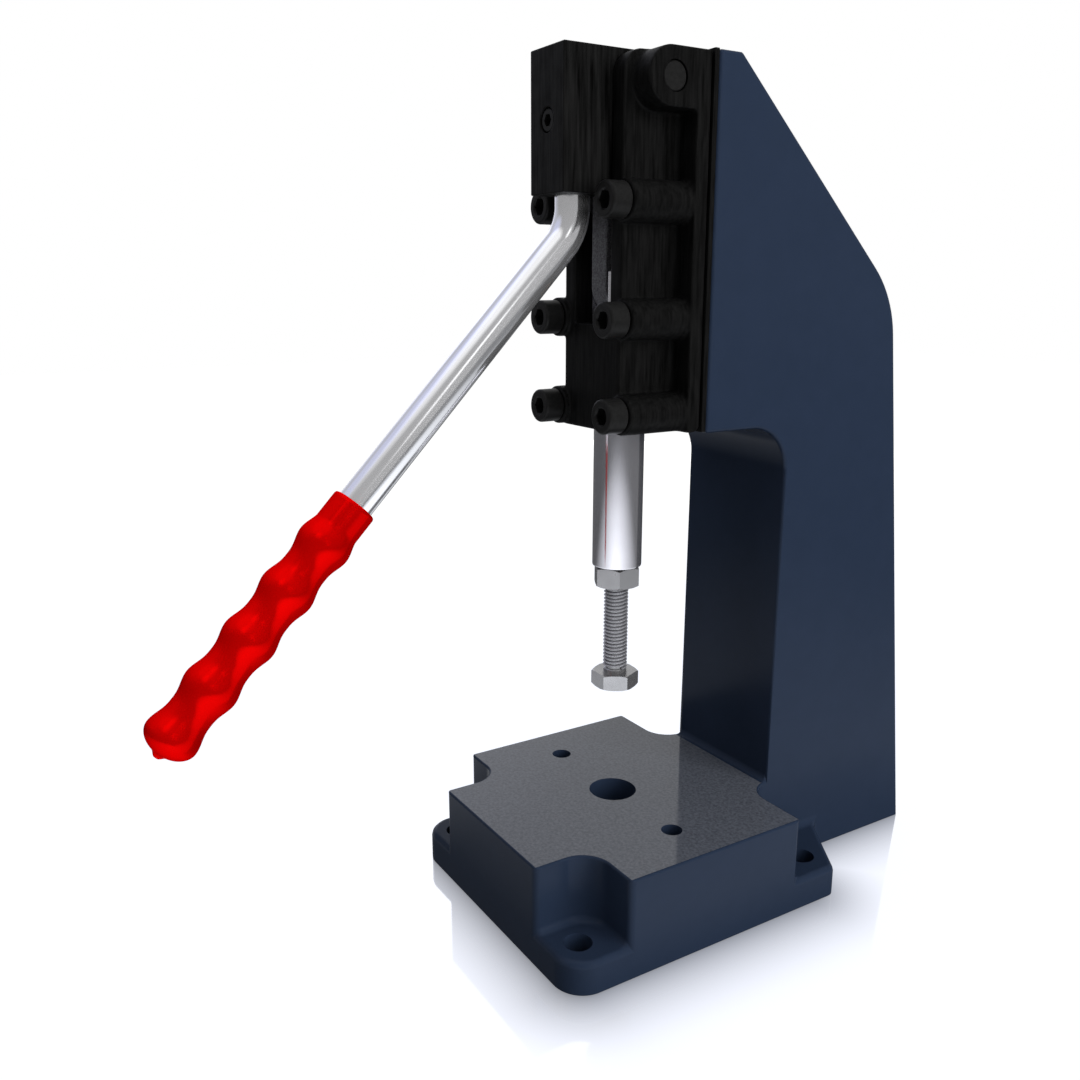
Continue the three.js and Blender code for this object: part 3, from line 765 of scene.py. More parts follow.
class TogglePressStudio(bpy.types.PropertyGroup):
    """Camera and light."""

    camera_place: FloatVectorProperty(
        name="Camera", description="Place of the camera", subtype="TRANSLATION", unit="LENGTH",
        default=(0.330392, -0.285376, 0.252940),
    )
    camera_yaw: FloatProperty(
        name="Yaw", description="Turn of the camera from +Y towards -X",
        subtype="ANGLE", default=math.radians(58.324),
    )
    camera_pitch: FloatProperty(
        name="Pitch", description="Tilt of the camera below the horizon",
        subtype="ANGLE", default=math.radians(13.900),
    )
    lens: FloatProperty(
        name="Lens", description="Focal length on a 36 mm sensor, in mm", default=34.50, min=10
    )
    side_light: power(
        name="Side light", description="Power of the large light on the right", default=11.5
    )
    top_light: power(
        name="Top light", description="Power of the light above", default=3.0
    )
    front_light: power(
        name="Front light", description="Power of the light on the operator's side", default=1.2
    )
    back_light: power(
        name="Back light", description="Power of the light behind the left side", default=8.0
    )
    grip_low_light: power(
        name="Grip, from below", description="Power of the grip's own light from below",
        default=3.4,
    )
    grip_high_light: power(
        name="Grip, from above", description="Power of the grip's own light from above",
        default=8.0,
    )
    grip_front_light: power(
        name="Grip, from the front", description="Power of the grip's own light from the front",
        default=0.5,
    )
    grip_side_light: power(
        name="Grip, from the side", description="Power of the grip's own light from the right",
        default=3.6,
    )
    sky_strength: FloatProperty(
        name="Sky", description="Strength of the even light from all round", default=0.13, min=0
    )
    room_strength: FloatProperty(
        name="Room", description="Strength of the room that shows in bright metal",
        default=0.4, min=0,
    )
    room_tone: tone(
        name="Room tone", description="Tint of the cool patches in that room",
        default=(0.5, 0.56, 1.0),
    )
    floor_diffuse: FloatProperty(
        name="Floor shade", description="Share of the lamps' light that the floor shows",
        default=0.12, min=0, max=1,
    )
    # Painted shade: bluish tint of the floor's glow near the foot, which shows where the floor
    # there is below white
    foot_shade_tint: FloatVectorProperty(
        name="Floor", description="Glow of the floor near the foot in the picture",
        subtype="COLOR", min=0, max=2, default=(0.97, 1.00, 1.10),
    )
    mirror_strength: FloatProperty(
        name="Mirror image", description="Strength of the floor's mirror image at the foot",
        default=0.72, min=0, max=1,
    )
    mirror_reach: FloatProperty(
        name="Mirror reach", description="Distance from the foot at which the mirror image is gone",
        subtype="DISTANCE", unit="LENGTH", default=0.042, min=0,
    )
    pool_place: FloatVectorProperty(
        name="Pool of light", description="Place on the floor that shows brightest in metal",
        subtype="TRANSLATION", unit="LENGTH", default=(0.31, -0.31, 0.0),
    )
    pool_tone: FloatVectorProperty(
        name="Pool tone", description="Colour of that place",
        subtype="COLOR", min=0, default=(0.97, 1.0, 1.05),
    )
    pool_strength: FloatProperty(
        name="Pool strength", description="Brightness of that place", default=2.55, min=0
    )


# Frame casting

HALF_WIDTH = 62.0
FRONT_Y = -61.5
TABLE_Z = 41.5
TABLE_REAR_Y = 50.0
# The table's outline ends inside the column
TABLE_TAIL_Y = 100.0
FOOT_Z = 13.6
FOOT_REAR_Y = 92.0
FOOT_SIDE_REAR_Y = 71.5
FOOT_FRONT_RADIUS = 12.5
FOOT_REAR_RADIUS = 4.0
NOTCH = 25.6
HALF_COLUMN = 30.0
COLUMN_FRONT_Y = 61.5
COLUMN_REAR_Y = 151.0
NOTCH_RADIUS = COLUMN_FRONT_Y - TABLE_REAR_Y
# The bend in the column's back, with its radius
KNEE = (118.9, 248.2, 45.0)
THROAT_TOP_Z = 197.5
THROAT_RADIUS = 18.0
HEAD_FRONT_Y = 19.0
CROWN_Z = 333.0
CROWN_DEPTH = 10.8
CROWN_RADIUS = 2.0
TABLE_HOLES = ((0.0, 0.0, 10.0), (40.5, 0.0, 4.25), (-40.5, 0.0, 4.25))
FOOT_HOLES = ((48.5, -50.0), (-48.5, -50.0), (48.5, 65.5), (-48.5, 65.5))
FOOT_HOLE_RADIUS = 5.5
BENCH_EDGE = 0.6
# Heights nearer than this are the same, an edge that rises less is level, a face that looks up
# more is flat
NEAR = 0.1
LEVEL = 0.1
FLAT = 0.999


def frame_casting():
    shoulder_x = HALF_WIDTH - NOTCH
    notch_y = FRONT_Y + NOTCH
    table = mirrored_outline(
        (shoulder_x, FRONT_Y), (shoulder_x, notch_y, NOTCH_RADIUS), (HALF_WIDTH, notch_y),
        (HALF_WIDTH, TABLE_REAR_Y), (HALF_COLUMN, TABLE_REAR_Y, NOTCH_RADIUS),
        (HALF_COLUMN, TABLE_TAIL_Y),
    )
    foot = mirrored_outline(
        (HALF_WIDTH, FRONT_Y, FOOT_FRONT_RADIUS),
        (HALF_WIDTH, FOOT_SIDE_REAR_Y, FOOT_REAR_RADIUS), (HALF_COLUMN, FOOT_REAR_Y),
    )
    column = rounded_outline([
        (COLUMN_FRONT_Y, 0), (COLUMN_REAR_Y, 0), KNEE,
        (HEAD_FRONT_Y + CROWN_DEPTH, CROWN_Z, CROWN_RADIUS), (HEAD_FRONT_Y, CROWN_Z),
        (HEAD_FRONT_Y, THROAT_TOP_Z), (COLUMN_FRONT_Y, THROAT_TOP_Z, THROAT_RADIUS),
    ])
    casting = join(
        prism(foot, "z", 0, FOOT_Z), prism(table, "z", 0, TABLE_Z),
        cross_bar(column, HALF_COLUMN),
    )
    round_edges(casting, casting_radius)
    holes = [
        prism(circle(radius, (x, y)), "z", -OVERRUN, TABLE_Z + OVERRUN)
        for x, y, radius in TABLE_HOLES
    ]
    holes += [
        prism(circle(FOOT_HOLE_RADIUS, place, 48), "z", -OVERRUN, FOOT_Z + OVERRUN)
        for place in FOOT_HOLES
    ]
    cut(casting, *holes)
    finish_piece(
        casting, "frame_casting", "frame", ["press_frame"], "navy_paint",
        "Navy paint", "Ground table",
    )
    for face in casting.data.polygons:
        height = face.center.z / MILLIMETRE
        bare = face.normal.z > FLAT and abs(height - TABLE_Z) < NEAR
        face.material_index = 1 if bare else 0


def casting_radius(middle, direction, outer):
    """Rounding of the frame's edge at a place."""
    sizes = bpy.context.scene.toggle_press_sizes
    if middle.z < NEAR:
        return BENCH_EDGE
    if not outer:
        return sizes.casting_fillet
    if abs(middle.z - TABLE_Z) < NEAR and abs(direction.z) < LEVEL:
        return sizes.table_edge
    if middle.z < TABLE_Z:
        return sizes.foot_edge
    return sizes.casting_edge


class MakeFrameCasting(bpy.types.Operator):
    """Cast frame with its table, foot and column"""

    bl_idname = "toggle_press.make_frame_casting"
    bl_label = "Frame Casting"

    def execute(self, context):
        frame_casting()
        return {"FINISHED"}


# Housing and backing plate

HALF_CORE = 18.5
HALF_FLANGE = 29.25
HALF_SLOT = 11.5
CORE_FRONT_Y = -13.8
FLANGE_FRONT_Y = 10.3
HOUSING_REAR_Y = 16.3
HOUSING_BOTTOM_Z = 198.3
HOUSING_TOP_Z = 332.3
CORE_TOP_RADIUS = 8.0
CORE_REAR_RADIUS = 3.0
WEB_RADIUS = 2.0
SLOT_FLOOR_Z = 238.3
SLOT_REAR_Y = 12.4
GUIDE_RADIUS = 11.6
PIVOT_Z = 322.3
PIVOT_HOLE_RADIUS = 5.3
HUB_RADIUS = 10.0
HUB_FRONT_Y = -11.0
BOSS_FRONT_Y = -15.9
BOSS_RADIUS = 7.5
SCREW_X = 21.5
SCREW_ROWS = {"bottom": 205.8, "middle": 240.3, "top": 281.5}
SCREW_HOLE_RADIUS = 4.3
PLATE_REAR_Y = 18.7
PLATE_EDGE = 0.3
# Shares of the softening: how far each round moves a point, and how many faces stay
SOFTENING = 0.5
KEPT_FACES = 0.35


def at_screws(radius, front_y, rear_y, facets=64):
    """Round bars at the places of the six cap screws."""
    return [
        prism(circle(radius, (side_x, row_z), facets), "y", front_y, rear_y)
        for row_z in SCREW_ROWS.values()
        for side_x in (-SCREW_X, SCREW_X)
    ]


def clamp_housing():
    sizes = bpy.context.scene.toggle_press_sizes
    past_flange = FLANGE_FRONT_Y + OVERRUN
    plan = mirrored_outline(
        (HALF_CORE, CORE_FRONT_Y), (HALF_CORE, FLANGE_FRONT_Y, WEB_RADIUS),
        (HALF_FLANGE, FLANGE_FRONT_Y), (HALF_FLANGE, HOUSING_REAR_Y),
    )
    side = rounded_outline([
        (CORE_FRONT_Y, HOUSING_BOTTOM_Z), (HOUSING_REAR_Y, HOUSING_BOTTOM_Z, CORE_REAR_RADIUS),
        (HOUSING_REAR_Y, HOUSING_TOP_Z), (CORE_FRONT_Y, HOUSING_TOP_Z, CORE_TOP_RADIUS),
    ])
    housing = keep_common(
        prism(plan, "z", HOUSING_BOTTOM_Z, HOUSING_TOP_Z),
        cross_bar(side, HALF_FLANGE + OVERRUN),
    )
    hub = rounded_outline([
        (HUB_FRONT_Y, PIVOT_Z - HUB_RADIUS, HUB_RADIUS), (past_flange, PIVOT_Z - HUB_RADIUS),
        (past_flange, HOUSING_TOP_Z), (HUB_FRONT_Y, HOUSING_TOP_Z, HUB_RADIUS),
    ])
    bosses = at_screws(BOSS_RADIUS, BOSS_FRONT_Y, past_flange, facets=96)
    join(housing, cross_bar(hub, HALF_FLANGE), *bosses)
    slot = rounded_outline([
        (BOSS_FRONT_Y - OVERRUN, SLOT_FLOOR_Z), (SLOT_REAR_Y, SLOT_FLOOR_Z),
        (SLOT_REAR_Y, HOUSING_TOP_Z + OVERRUN), (BOSS_FRONT_Y - OVERRUN, HOUSING_TOP_Z + OVERRUN),
    ])
    guide = circle(GUIDE_RADIUS, facets=96)
    cut(
        housing, cross_bar(slot, HALF_SLOT),
        prism(guide, "z", HOUSING_BOTTOM_Z - OVERRUN, SLOT_FLOOR_Z + OVERRUN),
    )
    soften_cast_edges(housing, sizes.housing_grid, sizes.housing_softening)
    pivot_hole = circle(PIVOT_HOLE_RADIUS, (0, PIVOT_Z))
    holes = at_screws(SCREW_HOLE_RADIUS, BOSS_FRONT_Y - OVERRUN, HOUSING_REAR_Y + OVERRUN)
    holes.append(prism(pivot_hole, "x", HALF_SLOT - OVERRUN, HALF_FLANGE + OVERRUN))
    holes.append(prism(pivot_hole, "x", -HALF_FLANGE - OVERRUN, -HALF_SLOT + OVERRUN))
    combine(housing, "DIFFERENCE", holes, merge=False)
    finish_piece(
        housing, "slotted_housing", "frame", ["clamp_housing"], "black_casting", "Black casting"
    )


def soften_cast_edges(form, grid, rounds):
    """Softens all edges of a casting evenly, inner corners as well as outer ones."""
    add_step(form, "REMESH", mode="VOXEL", voxel_size=grid)
    add_step(form, "SMOOTH", factor=SOFTENING, iterations=rounds)
    add_step(form, "DECIMATE", ratio=KEPT_FACES)
    settle(form)


def backing_plate():
    front_y = HOUSING_REAR_Y + PLAY
    plate = prism(
        mirrored_outline((HALF_COLUMN, front_y), (HALF_COLUMN, PLATE_REAR_Y)),
        "z", HOUSING_BOTTOM_Z, CROWN_Z,
    )
    cut(plate, *at_screws(SCREW_HOLE_RADIUS, front_y - OVERRUN, PLATE_REAR_Y + OVERRUN))
    round_edges(plate, lambda middle, direction, outer: PLATE_EDGE, 2)
    finish_piece(
        plate, "gasket_plate", "frame", ["backing_plate"], "black_steel", "Black casting"
    )


class MakeHousing(bpy.types.Operator):
    """Slotted housing that carries the pivot and guides the ram, with its backing plate"""

    bl_idname = "toggle_press.make_housing"
    bl_label = "Housing"

    def execute(self, context):
        clamp_housing()
        backing_plate()
        return {"FINISHED"}


# Screws and pins

SCREW_HEAD_RADIUS = 6.5
SCREW_HEAD_HEIGHT = 8.0
SCREW_RIM_RADIUS = 1.1
SCREW_RIM_STEPS = 6
SCREW_RADIUS = 4.0
SCREW_LENGTH = 50.0
SCREW_CHAMFER = 0.8
SCREW_UNDERCUT = 0.3
SCREW_KEY = 6.0
SCREW_KEY_DEPTH = 4.0
# Radii and depth of the cone at the mouth of the socket
SCREW_MOUTH = (3.85, 3.2, 0.6)
# Length of the lever's arm and of the link, between their pivots
ARM = 35.0
PIN_EDGE = 0.4
BUSH_EDGE = 0.2
JOINT_Z = PIVOT_Z - ARM
RAM_PIN_Z = PIVOT_Z - 2 * ARM


def cap_screw(side_x, row_z):
    """Socket head cap screw with a rounded rim and a cone at the mouth of its socket."""
    centre = (side_x, row_z)
    seat_y = BOSS_FRONT_Y - PLAY
    face_y = seat_y - SCREW_HEAD_HEIGHT
    end_y = seat_y + SCREW_LENGTH
    rim = []
    for step in range(SCREW_RIM_STEPS + 1):
        angle = math.pi / 2 * step / SCREW_RIM_STEPS
        radius = SCREW_HEAD_RADIUS - SCREW_RIM_RADIUS * (1 - math.sin(angle))
        rim.append((radius, face_y + SCREW_RIM_RADIUS * (1 - math.cos(angle))))
    profile = [
        (0, face_y), *rim, (SCREW_HEAD_RADIUS, seat_y - SCREW_UNDERCUT),
        (SCREW_HEAD_RADIUS - SCREW_UNDERCUT, seat_y), (SCREW_RADIUS, seat_y),
        (SCREW_RADIUS, end_y - SCREW_CHAMFER), (SCREW_RADIUS - SCREW_CHAMFER, end_y), (0, end_y),
    ]
    wide, narrow, depth = SCREW_MOUTH
    mouth = [
        (0, face_y - SKIM), (wide, face_y - SKIM), (narrow, face_y + depth), (0, face_y + depth),
    ]
    key = hexagon(SCREW_KEY, centre)
    return cut(
        turned(profile, "y", centre),
        prism(key, "y", face_y - OVERRUN, face_y + SCREW_KEY_DEPTH),
        turned(mouth, "y", centre),
    )


class MakeCapScrews(bpy.types.Operator):
    """Six socket head cap screws that hold the housing to the frame"""

    bl_idname = "toggle_press.make_cap_screws"
    bl_label = "Cap Screws"

    def execute(self, context):
        for row, row_z in SCREW_ROWS.items():
            for side, side_x in (("left", -SCREW_X), ("right", SCREW_X)):
                finish_piece(
                    cap_screw(side_x, row_z), f"socket_screw_{row}_{side}", "frame",
                    [f"cap_screw_{row}_{side}"], "black_steel", "Black oxide steel",
                )
        return {"FINISHED"}


def chamfered(inner, outer, low, high, axis, centre, edge, facets=72):
    """Bar with its outer edges chamfered, or a tube where it has an inner radius."""
    profile = [
        (inner, low), (outer - edge, low), (outer, low + edge), (outer, high - edge),
        (outer - edge, high), (inner, high),
    ]
    return turned(profile, axis, centre, facets)


def pin(radius, half_length, height_z):
    return chamfered(0, radius, -half_length, half_length, "x", (0, height_z), PIN_EDGE)


def bush(inner, outer, low, high, axis="x", centre=(0, 0)):
    return chamfered(inner, outer, low, high, axis, centre, BUSH_EDGE)


def pins_and_bushes():
    """Form, name, body, node, slot and finish of each pin and bush.

    A pin is drawn by its radius and half its length, a bush by its radii and its two ends.
    """
    pivot, joint = (0, PIVOT_Z), (0, JOINT_Z)
    black = ("black_steel", "Black oxide steel")
    steel = ("ground_steel", "Ground steel")
    bronze = ("bronze", "Bearing bronze")
    return (
        (pin(5, 28.95, PIVOT_Z), "pivot_pin", "frame", "main_pivot_pin", *black),
        (pin(4, 10.7, JOINT_Z), "lever_link_pin", "lever", "link_pin", *steel),
        (pin(4, 9.7, RAM_PIN_Z), "link_ram_pin", "link", "ram_pin", *steel),
        (bush(10.3, 11.3, 200.3, 236.3, "z"), "guide_bush", "frame", "ram_guide_bush", *bronze),
        (bush(5.3, 6.7, -11, 11, centre=pivot), "pivot_bush", "lever", "lever_bush", *bronze),
        (bush(4.3, 5.4, -4.75, 4.75, centre=joint), "link_eye_bush", "link", "link_bush", *bronze),
    )


class MakePinsAndBushes(bpy.types.Operator):
    """Pivot pins and plain bearings of the linkage and the ram"""

    bl_idname = "toggle_press.make_pins_and_bushes"
    bl_label = "Pins and Bushes"

    def execute(self, context):
        for form, name, body, node, slot, finish in pins_and_bushes():
            finish_piece(form, name, body, [node], slot, finish)
        return {"FINISHED"}


# Lever

BLOCK_FRONT_Y = -34.0
BLOCK_BOTTOM_Z = PIVOT_Z - 38.1
BLOCK_HUB_RADIUS = 11.0
BLOCK_TOP_Z = PIVOT_Z + BLOCK_HUB_RADIUS
HALF_BLOCK = 11.0
BLOCK_PIVOT_HOLE_RADIUS = 7.0
HALF_FORK = 5.1
# Room in the block for the link's end: in front of the joint, behind and below it, and above it
FOLD_RADIUS = 11.6
FOLD_REACH = 13.0
FOLD_FRONT_RISE = 6.7
FOLD_REAR_RISE = 20.9
ROD_Y = -22.9
ROD_RADIUS = 6.5
ROD_TOP_Z = PIVOT_Z + 4.9
ROD_HOLE_TOP_Z = PIVOT_Z + 5.5
ROD_LENGTH = 228.0
BEND_RADIUS = 20.0
BEND_ANGLE = math.radians(43.6)
BEND_Z = PIVOT_Z - 50.1
BEND_STEPS = 24
PIN_HOLE_RADIUS = 4.3
SET_SCREW_Z = PIVOT_Z - 13.3
SET_SCREW_RADIUS = 4.0
SET_SCREW_HOLE_RADIUS = SET_SCREW_RADIUS + PLAY
SET_SCREW_TIP_Y = -27.0
SET_SCREW_RECESS = 0.4
SET_SCREW_EDGE = 0.4
SET_SCREW_KEY = 4.0
SET_SCREW_KEY_DEPTH = 3.0


def lever_block():
    sizes = bpy.context.scene.toggle_press_sizes
    outline = rounded_outline([
        (BLOCK_FRONT_Y, BLOCK_BOTTOM_Z), (BLOCK_HUB_RADIUS, BLOCK_BOTTOM_Z),
        (BLOCK_HUB_RADIUS, BLOCK_TOP_Z, BLOCK_HUB_RADIUS), (BLOCK_FRONT_Y, BLOCK_TOP_Z),
    ])
    ears = circle(BLOCK_HUB_RADIUS, (0, JOINT_Z), 96)
    block = join(cross_bar(outline, HALF_BLOCK), cross_bar(ears, HALF_BLOCK))
    fold = rounded_outline([
        (-FOLD_RADIUS, JOINT_Z - FOLD_REACH), (FOLD_REACH, JOINT_Z - FOLD_REACH),
        (FOLD_REACH, JOINT_Z + FOLD_REAR_RISE),
        (-FOLD_RADIUS, JOINT_Z + FOLD_FRONT_RISE, FOLD_RADIUS),
    ])
    rod_hole = circle(ROD_RADIUS + PLAY, (0, ROD_Y))
    set_screw_hole = circle(SET_SCREW_HOLE_RADIUS, (0, SET_SCREW_Z))
    cut(
        block,
        cross_bar(fold, HALF_FORK),
        cross_bar(circle(BLOCK_PIVOT_HOLE_RADIUS, (0, PIVOT_Z)), HALF_BLOCK + OVERRUN),
        cross_bar(circle(PIN_HOLE_RADIUS, (0, JOINT_Z)), HALF_BLOCK + OVERRUN),
        prism(rod_hole, "z", BLOCK_BOTTOM_Z - OVERRUN, ROD_HOLE_TOP_Z),
        prism(set_screw_hole, "y", BLOCK_FRONT_Y - OVERRUN, ROD_Y),
    )
    round_edges(block, lambda middle, direction, outer: sizes.block_edge if outer else 0)
    finish_piece(
        block, "grained_lever_block", "lever", ["lever_block"], "black_casting", "Grained block"
    )


def set_screw():
    front_y = BLOCK_FRONT_Y + SET_SCREW_RECESS
    centre = (0, SET_SCREW_Z)
    screw = chamfered(
        0, SET_SCREW_RADIUS, front_y, SET_SCREW_TIP_Y, "y", centre, SET_SCREW_EDGE, facets=64
    )
    key = hexagon(SET_SCREW_KEY, centre)
    cut(screw, prism(key, "y", front_y - OVERRUN, front_y + SET_SCREW_KEY_DEPTH))
    finish_piece(
        screw, "socket_set_screw", "lever", ["rod_set_screw"], "black_steel",
        "Black oxide steel",
    )


def rod_stations():
    """Centres and directions of the rod, from its top end to its end in the grip."""
    start_z = BEND_Z + BEND_RADIUS * math.tan(BEND_ANGLE / 2)
    stations = [(Vector((0, ROD_Y, ROD_TOP_Z)), 0.0)]
    for step in range(BEND_STEPS + 1):
        angle = BEND_ANGLE * step / BEND_STEPS
        centre = Vector((0, ROD_Y - BEND_RADIUS, start_z))
        spoke = Vector((0, math.cos(angle), -math.sin(angle)))
        stations.append((centre + spoke * BEND_RADIUS, angle))
    outwards = Vector((0, -math.sin(BEND_ANGLE), -math.cos(BEND_ANGLE)))
    stations.append((Vector((0, ROD_Y, BEND_Z)) + outwards * ROD_LENGTH, BEND_ANGLE))
    return stations


def lever_rod():
    mesh = bmesh.new()
    rings = []
    for centre, angle in rod_stations():
        across = Vector((0, math.cos(angle), -math.sin(angle)))
        rings.append([
            mesh.verts.new(centre + (Vector((1, 0, 0)) * point.x + across * point.y))
            for point in circle(ROD_RADIUS, facets=128)
        ])
    for lower, upper in zip(rings, rings[1:]):
        add_band(mesh, lower, upper)
    mesh.faces.new(rings[0])
    mesh.faces.new(rings[-1])
    seat = circle(SET_SCREW_HOLE_RADIUS, (0, SET_SCREW_Z))
    rod = cut(as_form(mesh), prism(seat, "y", BLOCK_FRONT_Y, SET_SCREW_TIP_Y + PLAY))
    finish_piece(rod, "bent_rod", "lever", ["lever_rod"], "bright_chrome", "Bright chrome")


class MakeLever(bpy.types.Operator):
    """Lever block with its set screw and the bent rod"""

    bl_idname = "toggle_press.make_lever"
    bl_label = "Lever"

    def execute(self, context):
        lever_block()
        set_screw()
        lever_rod()
        return {"FINISHED"}


# Hand grip

# Heights are along the rod: the collar's mouth from the bend, the others from that mouth
GRIP_START = 128.5
GRIP_PITCH = 20.0
GRIP_FIRST = 17.4
GRIP_BULGES = 5
GRIP_LAST = GRIP_FIRST + (GRIP_BULGES - 1) * GRIP_PITCH
GRIP_BORE_RADIUS = 6.8
COLLAR_RADIUS = 8.15
# Points of the collar's rounded mouth, as radius against the collar's and height
COLLAR_RIM = ((-0.9, 0.0), (-0.3, 0.25), (0.0, 0.9))
BODY_START = 1.5
BODY_STEPS = 116
WAIST_RADIUS = 7.875
BULGE_RADIUS = 9.65
# A higher power narrows the bulges and widens the waists
BULGE_POWER = 2.7
DOME_HEIGHT = 6.6
DOME_STEPS = 20
# The tip above the last bulge, the wall between it and the bore, the radius at which the dome
# ends, and the points of the pip from there, as radius and depth below the tip
TIP_HEIGHT = 8.1
TIP_WALL = 5.7
DOME_END_RADIUS = 3.8
PIP = ((3.2, 1.85), (2.5, 1.5), (2.0, 1.0), (1.6, 0.6), (1.0, 0.15), (0, 0))


def rim_points(rim, radius, height):
    """Points of a rounded rim round the end of a bar or tube."""
    return [(radius + inset, height + rise) for inset, rise in rim]


def grip_radius(height):
    """Outer radius at a height above the collar's mouth."""
    wave = abs(math.cos(math.pi * (height - GRIP_FIRST) / GRIP_PITCH))
    radius = WAIST_RADIUS + (BULGE_RADIUS - WAIST_RADIUS) * wave ** BULGE_POWER
    if height < GRIP_FIRST - GRIP_PITCH / 2:
        return COLLAR_RADIUS
    if height < GRIP_FIRST:
        return max(radius, COLLAR_RADIUS)
    return radius


def hand_grip():
    profile = [(GRIP_BORE_RADIUS, 0), *rim_points(COLLAR_RIM, COLLAR_RADIUS, 0)]
    for step in range(BODY_STEPS + 1):
        height = BODY_START + (GRIP_LAST - BODY_START) * step / BODY_STEPS
        profile.append((grip_radius(height), height))
    for step in range(1, DOME_STEPS):
        angle = math.pi / 2 * step / DOME_STEPS
        radius = BULGE_RADIUS * math.cos(angle)
        if radius < DOME_END_RADIUS:
            break
        profile.append((radius, GRIP_LAST + DOME_HEIGHT * math.sin(angle)))
    tip = GRIP_LAST + TIP_HEIGHT
    profile += [(radius, tip - depth) for radius, depth in PIP]
    profile += [(0, tip - TIP_WALL), (GRIP_BORE_RADIUS, tip - TIP_WALL)]
    grip = turned(profile, facets=96)
    lean = Matrix.Rotation(math.pi - BEND_ANGLE, 4, "X")
    corner = Matrix.Translation((0, ROD_Y, BEND_Z))
    grip.data.transform(corner @ lean @ Matrix.Translation((0, 0, GRIP_START)))
    finish_piece(grip, "ribbed_grip", "lever", ["hand_grip"], "red_vinyl", "Red vinyl")


class MakeHandGrip(bpy.types.Operator):
    """Dipped grip with five bulges and a small pip at its tip"""

    bl_idname = "toggle_press.make_hand_grip"
    bl_label = "Hand Grip"

    def execute(self, context):
        hand_grip()
        return {"FINISHED"}


# Link and ram

HALF_LINK = 4.75
LINK_RADIUS = 11.0
LINK_BUSH_HOLE_RADIUS = 5.7
RAM_RADIUS = 10.0
# Points of the ram's rounded lower edge, as radius against the ram's and height
RAM_RIM = ((-0.6, 0.0), (-0.1, 0.4), (0.0, 0.9))
RAM_BOTTOM_Z = 141.8
RAM_SHOULDER_Z = SLOT_FLOOR_Z + 2.7
RAM_FORK_RADIUS = 11.2
RAM_CHAMFER = 0.8
RAM_TOP_Z = RAM_PIN_Z + 5.9
# How far the ram runs ahead of the link's foot, which makes its pin hole a slot
RAM_LEAD = 8.14
FORK_GAP = 0.6
# Half the width of the forms that cut across the ram
PAST_RAM = 15.0
SPINDLE_BORE_RADIUS = 5.3
SPINDLE_BORE_DEPTH = 37.0


def toggle_link():
    sizes = bpy.context.scene.toggle_press_sizes
    outline = mirrored_outline(
        (LINK_RADIUS, RAM_PIN_Z - LINK_RADIUS, LINK_RADIUS),
        (LINK_RADIUS, JOINT_Z + LINK_RADIUS, LINK_RADIUS),
    )
    link = cut(
        cross_bar(outline, HALF_LINK),
        cross_bar(circle(LINK_BUSH_HOLE_RADIUS, (0, JOINT_Z)), HALF_LINK + OVERRUN),
        cross_bar(circle(PIN_HOLE_RADIUS, (0, RAM_PIN_Z)), HALF_LINK + OVERRUN),
    )
    round_edges(link, lambda middle, direction, outer: sizes.link_edge)
    finish_piece(link, "cast_link", "link", ["toggle_link"], "cast_link", "Cast grey")


class MakeLink(bpy.types.Operator):
    """Link between the lever block and the ram"""

    bl_idname = "toggle_press.make_link"
    bl_label = "Link"

    def execute(self, context):
        toggle_link()
        return {"FINISHED"}


def ram_bar():
    """Ground bar with a fork for the link, a slot for its pin and a bore for the spindle."""
    profile = [
        (0, RAM_BOTTOM_Z), *rim_points(RAM_RIM, RAM_RADIUS, RAM_BOTTOM_Z),
        (RAM_RADIUS, RAM_SHOULDER_Z), (RAM_FORK_RADIUS, RAM_SHOULDER_Z),
        (RAM_FORK_RADIUS, RAM_TOP_Z - RAM_CHAMFER),
        (RAM_FORK_RADIUS - RAM_CHAMFER, RAM_TOP_Z), (0, RAM_TOP_Z),
    ]
    fork_floor = RAM_PIN_Z - LINK_RADIUS - RAM_LEAD - FORK_GAP
    hole, lowest = PIN_HOLE_RADIUS, RAM_PIN_Z - RAM_LEAD
    fork = mirrored_outline((PAST_RAM, fork_floor), (PAST_RAM, RAM_TOP_Z + OVERRUN))
    slot = mirrored_outline((hole, lowest - hole, hole), (hole, RAM_PIN_Z + hole, hole))
    bore = circle(SPINDLE_BORE_RADIUS)
    bar = cut(
        turned(profile, facets=96),
        cross_bar(fork, HALF_FORK),
        cross_bar(slot, PAST_RAM),
        prism(bore, "z", RAM_BOTTOM_Z - OVERRUN, RAM_BOTTOM_Z + SPINDLE_BORE_DEPTH),
    )
    finish_piece(bar, "ground_ram", "ram", ["ram"], "ground_steel", "Ground steel")


class MakeRam(bpy.types.Operator):
    """Ground ram with its fork"""

    bl_idname = "toggle_press.make_ram"
    bl_label = "Ram"

    def execute(self, context):
        ram_bar()
        return {"FINISHED"}


# Spindle and nut

ACROSS_FLATS = 17.0
# The round face at each end of a hexagon, and the slope of its turned down corners
FACE_EXTRA = 0.2
CORNER_ANGLE = math.radians(27)
NUT_TOP_Z = 141.5
NUT_BOTTOM_Z = 133.5
NUT_CHAMFER = 0.6
NUT_TURN = -28.4
HEAD_BOTTOM_Z = 90.0
HEAD_TOP_Z = 96.4
HEAD_TURN = -3.7
SPINDLE_TOP_Z = 156.4
SPINDLE_CHAMFER = 0.5
SPINDLE_RADIUS = 5.0
# The plain neck between the bolt's head and its thread
NECK_RADIUS = 4.8
NECK_TOP_Z = HEAD_TOP_Z + 1.0
NECK_END_Z = HEAD_TOP_Z + 1.6
THREAD_BOTTOM_Z = HEAD_TOP_Z + 0.8
THREAD_TOP_Z = SPINDLE_TOP_Z - 1.0
